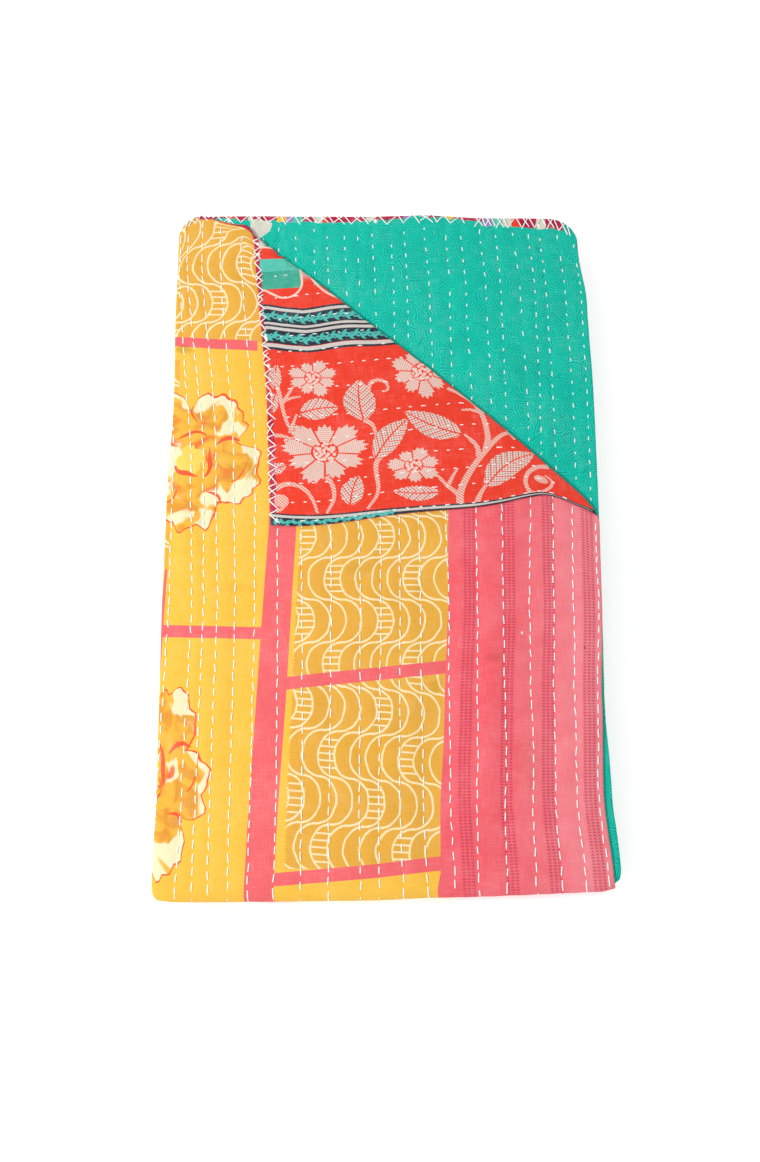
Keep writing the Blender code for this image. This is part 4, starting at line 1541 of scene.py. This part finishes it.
# %% The needle's route along each row
STITCH_PERIOD, STITCH_LENGTH, BACK_GAP = 10.3, 6.9, 0.25
STITCH_JITTER, STITCH_SLANT, BACK_SLANT, SHORTEST = 0.9, 0.55, 0.7, 1.6
STITCH_SHARES = np.array((0.0, 0.14, 0.5, 0.86, 1.0))
STITCH_RISE = np.array((-0.75, 0.18, 0.36, 0.18, -0.75))
THREAD_WIDTH, CORNER_WIDTH, HEM_WIDTH = 0.00100, 0.00092, 0.00095
needle = np.random.default_rng(8)
ROW_STITCHES = []
for row in range(ROWS):
    count = int((V_END - V_START) / STITCH_PERIOD)
    start = V_START + 3 + needle.uniform(0, STITCH_PERIOD) + STITCH_PERIOD * np.arange(count)
    start = start + needle.uniform(-STITCH_JITTER, STITCH_JITTER, count)
    length = STITCH_LENGTH + needle.uniform(-STITCH_JITTER, STITCH_JITTER, count)
    slant = needle.uniform(-STITCH_SLANT, STITCH_SLANT, (count, 2))
    ROW_STITCHES.append((start, length, slant))


def row_lines(rows, front, v_low, v_high):
    """Flat (u, v) points of some rows' stitches on one face, five to a stitch."""
    found = []
    for row in rows:
        start, length, slant = ROW_STITCHES[row]
        if not front:
            start, length = (start + length + BACK_GAP)[:-1], np.diff(start) - length[:-1] - 2 * BACK_GAP
            slant = slant[:-1] * BACK_SLANT
        here = (start > v_low) & (start + length < v_high) & (length > SHORTEST)
        start, length, slant = start[here], length[here], slant[here]
        v = start[:, None] + length[:, None] * STITCH_SHARES
        u = row_places(v.ravel())[:, row].reshape(v.shape)
        u = u + slant[:, :1] * (1 - STITCH_SHARES) + slant[:, 1:] * STITCH_SHARES
        found.append(paired(u, v))
    return np.concatenate(found)


def on_face(lines, front):
    """Flat lines laid on a face of the folded cloth, each point raised by its share of the rise."""
    u, v = lines[..., 0].ravel(), lines[..., 1].ravel()
    up = face_height(u, v, front) + np.broadcast_to(STITCH_RISE, lines.shape[:2]).ravel()
    return list(placed(u, v, up if front else -up).reshape(lines.shape[:2] + (3,)))


def sewn(name, lines, width, sides=6, seed=3.0):
    """Spins thread along folded lines and returns it as a plain mesh piece."""
    count = sum(len(line) for line in lines)
    ends = np.cumsum([len(line) for line in lines])
    edges = paired(np.arange(count - 1), np.arange(1, count))
    edges = edges[~np.isin(edges[:, 1], ends)]
    guide = bpy.data.objects.new("guide", bpy.data.meshes.new("guide"))
    guide.data.from_pydata(np.concatenate(lines).tolist(), edges.tolist(), [])
    bpy.context.scene.collection.objects.link(guide)
    modifier = guide.modifiers.new("thread", "NODES")
    modifier.node_group = THREAD_TREE
    sockets = {item.name: item.identifier for item in THREAD_TREE.interface.items_tree}
    settings = {"Thread width": width, "Sides": sides, "Seed": seed, "Finish": thread_finish}
    for socket, value in settings.items():
        modifier[sockets[socket]] = value
    mesh = bpy.data.meshes.new_from_object(guide.evaluated_get(bpy.context.evaluated_depsgraph_get()))
    bpy.data.objects.remove(guide)
    mesh.name = name
    piece = bpy.data.objects.new(name, mesh)
    bpy.context.scene.collection.objects.link(piece)
    mesh.calc_loop_triangles()
    print(name, len(lines), "lines,", len(mesh.loop_triangles), "triangles")
    return piece


# %% [markdown]
# Only the stitches on faces that show are sewn: the top leaf outside the turned corner, the
# underside, the turned corner and the second leaf beside it, and the outer folds at both ends.

# %% Running stitches on the front and the back
top_rows = range(len(TOP_LEAF_ROWS))
second_rows = range(len(TOP_LEAF_ROWS), len(TOP_LEAF_ROWS) + len(SECOND_LEAF_ROWS))
last_rows = [row for row in range(ROWS) if row_places(0.0)[0, row] > 3 * LEAF_PERIOD / MM]


def keep_where(lines, lowest, highest):
    """The lines whose every point lies this far past the crease, in millimetres."""
    turned = turned_over(lines[..., 0], lines[..., 1])
    return lines[((turned > lowest) & (turned < highest)).all(1)]


top_lines = keep_where(row_lines(top_rows, True, -8, PERIOD_MM), -1e9, -1.5)
under_lines = np.concatenate([row_lines(top_rows, True, 3 * PERIOD_MM - 13, V_END - 8),
                              row_lines(last_rows, True, PERIOD_MM + STACK_MM - 3, 2 * PERIOD_MM + 3)])
corner_lines = np.concatenate([keep_where(row_lines(top_rows, False, -4, 300), 5, 1e9),
                               keep_where(row_lines(second_rows, False, -4, 300), 0, 1e9)])
threads = [sewn("top_running_stitches", on_face(top_lines, True), THREAD_WIDTH),
           sewn("underside_running_stitches", on_face(under_lines, True), THREAD_WIDTH, 5),
           sewn("corner_running_stitches", on_face(corner_lines, False), CORNER_WIDTH)]

# %% [markdown]
# The head and foot hems are whipped over by hand. A leg starts inside the hem, lies over it aslant
# and bends round the edge, and the next one comes back, so the thread makes a zigzag. Now and then
# a second leg crosses the first, or three short ones meet in a star where the thread was tied off.

# %% Whipping stitches on the hems
EDGE_OUT = 0.55
LEG_SHARES = np.array((0.0, 0.12, 0.45, 0.8, 0.93, 1.0))
LEG_RISE = np.array((-0.8, 0.25, 0.45, 0.40, 0.2, 0.0))
LEG_HEIGHT = np.array((1, 1, 1, 1, 0.75, 0))
STAR_RISE = np.array((-0.6, 0.4, 0.75, 0.4, -0.6))
hem_needle = np.random.default_rng(14)


def laid(u, v, rise, front):
    """A short line on a face near the hem, kept inside the sheet where its height is read."""
    u = np.clip(u, 0.3, U_END - 0.3)
    up = face_height(u, np.clip(v, V_START + 0.2, V_END - 0.2), front) + rise
    if len(u) == len(LEG_SHARES):
        up = up * LEG_HEIGHT
    return placed(u, v, up if front else -up)


def leg(front, inner_u, outer_u, edge, inward, depth, lift=0.0):
    inner_v = edge + inward * depth
    u = inner_u + (outer_u - inner_u) * LEG_SHARES
    v = inner_v + (edge - inward * EDGE_OUT - inner_v) * LEG_SHARES
    return laid(u, v, LEG_RISE + lift, front)


def star(front, u, v):
    """Three short stitches that meet in a knot."""
    lines = []
    for angle in hem_needle.uniform(0, 0.5) + np.array((0.0, 1.1, 2.1)):
        half = hem_needle.uniform(1.6, 2.6) * np.linspace(-1, 1, 5)
        lines.append(laid(u + half * math.cos(angle), v + half * math.sin(angle), STAR_RISE, front))
    return lines


def whipped(front, u_low, u_high, edge, inward, pitch, depth, crossing):
    """Legs along a hem between two places across the cloth."""
    lines, at = [], u_low
    while at < u_high - pitch * 1.3:
        step = pitch * hem_needle.uniform(0.75, 1.25)
        swing = step * hem_needle.uniform(0.50, 0.70)
        deep = depth * hem_needle.uniform(0.75, 1.25, 3)
        lines.append(leg(front, at, at + swing, edge, inward, deep[0]))
        lines.append(leg(front, at + step, at + swing + 0.6, edge, inward, deep[1], 0.1))
        if hem_needle.random() < crossing:
            lines.append(leg(front, at + swing * 1.1, at + 0.1 * step, edge, inward, deep[2], 0.45))
        if hem_needle.random() < 0.10:
            lines += star(front, at + step * 0.4, edge + inward * depth * 0.7)
        at += step
    return lines


def over_edge(u_low, u_high, edge, inward):
    """Short loops over a hem that lies between other leaves, where only its edge shows."""
    lines = []
    for at in np.arange(u_low, u_high, 6.0):
        u = at + hem_needle.uniform(-1, 1) + np.array((0, 0.6, 1.2, 1.8, 2.4))
        v = edge + inward * np.array((1.2, 0.3, -EDGE_OUT, 0.3, 1.2))
        lines.append(placed(u, v, np.array((1, 0.9, 0, -0.9, -1)) * 0.85))
    return lines


hem_lines = whipped(False, 2, 292, V_START, 1, 11.5, 6.6, 0.3)
hem_lines += star(False, 5, V_START + 5) + star(False, 120, V_START + 5.5) + star(False, 176, V_START + 5)
for run in (
    # front side?, u from and to, edge, way inwards, pitch, depth, share of crossed legs
    (False, LEAF_MM + 8, 610, V_START, 1, 13.5, 6.6, 0.6),
    (False, 602, 2 * LEAF_MM + 5, V_START, 1, 10.5, 9.4, 0.8),
    (True, 320, LEAF_MM, V_START, 1, 8.5, 6.0, 0.5),
    (True, 3, LEAF_MM, V_END, -1, 11.0, 6.0, 0.5),
):
    hem_lines += whipped(*run)
hem_lines += over_edge(2 * LEAF_MM + 8, U_END - 4, V_START, 1)
hem_lines += over_edge(LEAF_MM + 8, U_END - 4, V_END, -1)
threads.append(sewn("hem_whipping_stitches", hem_lines, HEM_WIDTH, seed=7.0))

# %% [markdown]
# ## Camera, light and floor
# The packet is seen from above and a little from its foot end, as when it lies on a table in front
# of the viewer. The light is a soft white studio: a bright sky dome for the even brightness, and one
# low lamp at the left for a faint direction, so that the rows of quilting read.

# %% Camera
VIEW_TILT, VIEW_DISTANCE = math.radians(14), 1.034
VIEW_POINT = Vector((-0.00341, -0.03882, 0.0320))
FOCAL_PIXELS, FRAME_PIXELS, SENSOR = 1303.0, 1162.0, 36.0
camera = bpy.data.objects.new("camera", bpy.data.cameras.new("camera"))
camera.data.sensor_width = SENSOR
camera.data.lens = SENSOR * FOCAL_PIXELS / FRAME_PIXELS
camera.data.clip_start = 0.05
camera.location = VIEW_POINT + VIEW_DISTANCE * Vector((0, -math.sin(VIEW_TILT), math.cos(VIEW_TILT)))
camera.rotation_euler = (VIEW_TILT, 0, 0)
bpy.context.scene.collection.objects.link(camera)
bpy.context.scene.camera = camera

# %% Light and floor
SKY_STRENGTH, FLOOR_GLOW, FLOOR_REACH = 0.68, 0.42, 4.0
LAMP_PLACE, LAMP_WATTS, LAMP_SIZE = Vector((-1.05, -0.15, 1.00)), 14.4, 0.25
world = bpy.data.worlds.new("studio")
world.use_nodes = True
fill(world.node_tree.nodes["Background"], {"Color": (1, 1, 1), "Strength": SKY_STRENGTH})
bpy.context.scene.world = world
bpy.context.scene.view_settings.view_transform = "Standard"
lamp = bpy.data.objects.new("key_lamp", bpy.data.lights.new("key_lamp", "AREA"))
lamp.data.energy, lamp.data.size = LAMP_WATTS, LAMP_SIZE
lamp.location = LAMP_PLACE
lamp.rotation_euler = (-LAMP_PLACE).to_track_quat("-Z", "Y").to_euler()
bpy.context.scene.collection.objects.link(lamp)

lowest = min(corner[2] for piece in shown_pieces() if not piece.hide_render for corner in piece.bound_box)
floor_mesh = bpy.data.meshes.new("floor")
floor_mesh.from_pydata([(x * FLOOR_REACH, y * FLOOR_REACH, lowest)
                        for x, y in ((-1, -1), (1, -1), (1, 1), (-1, 1))], [], [(0, 1, 2, 3)])
floor = bpy.data.objects.new("floor", floor_mesh)
bpy.context.scene.collection.objects.link(floor)
floor_paint, floor_shader = new_material("pale_floor")
fill(floor_shader, {"Roughness": 0.9, "Emission Color": (1, 1, 1), "Emission Strength": FLOOR_GLOW})
floor_shader.inputs["Base Color"].default_value = (0.98, 0.98, 0.98, 1.0)
floor_mesh.materials.append(floor_paint)
floor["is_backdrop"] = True
print("floor at", round(lowest / MM, 2), "mm")

# %% [markdown]
# ## Hand the pieces over
# The cloth stands for the imported solid, which is hidden. Every piece rides on the one body there is.

# %% Ride and replace
for piece in [cloth] + threads:
    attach(piece, "root")
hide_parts("quilt")
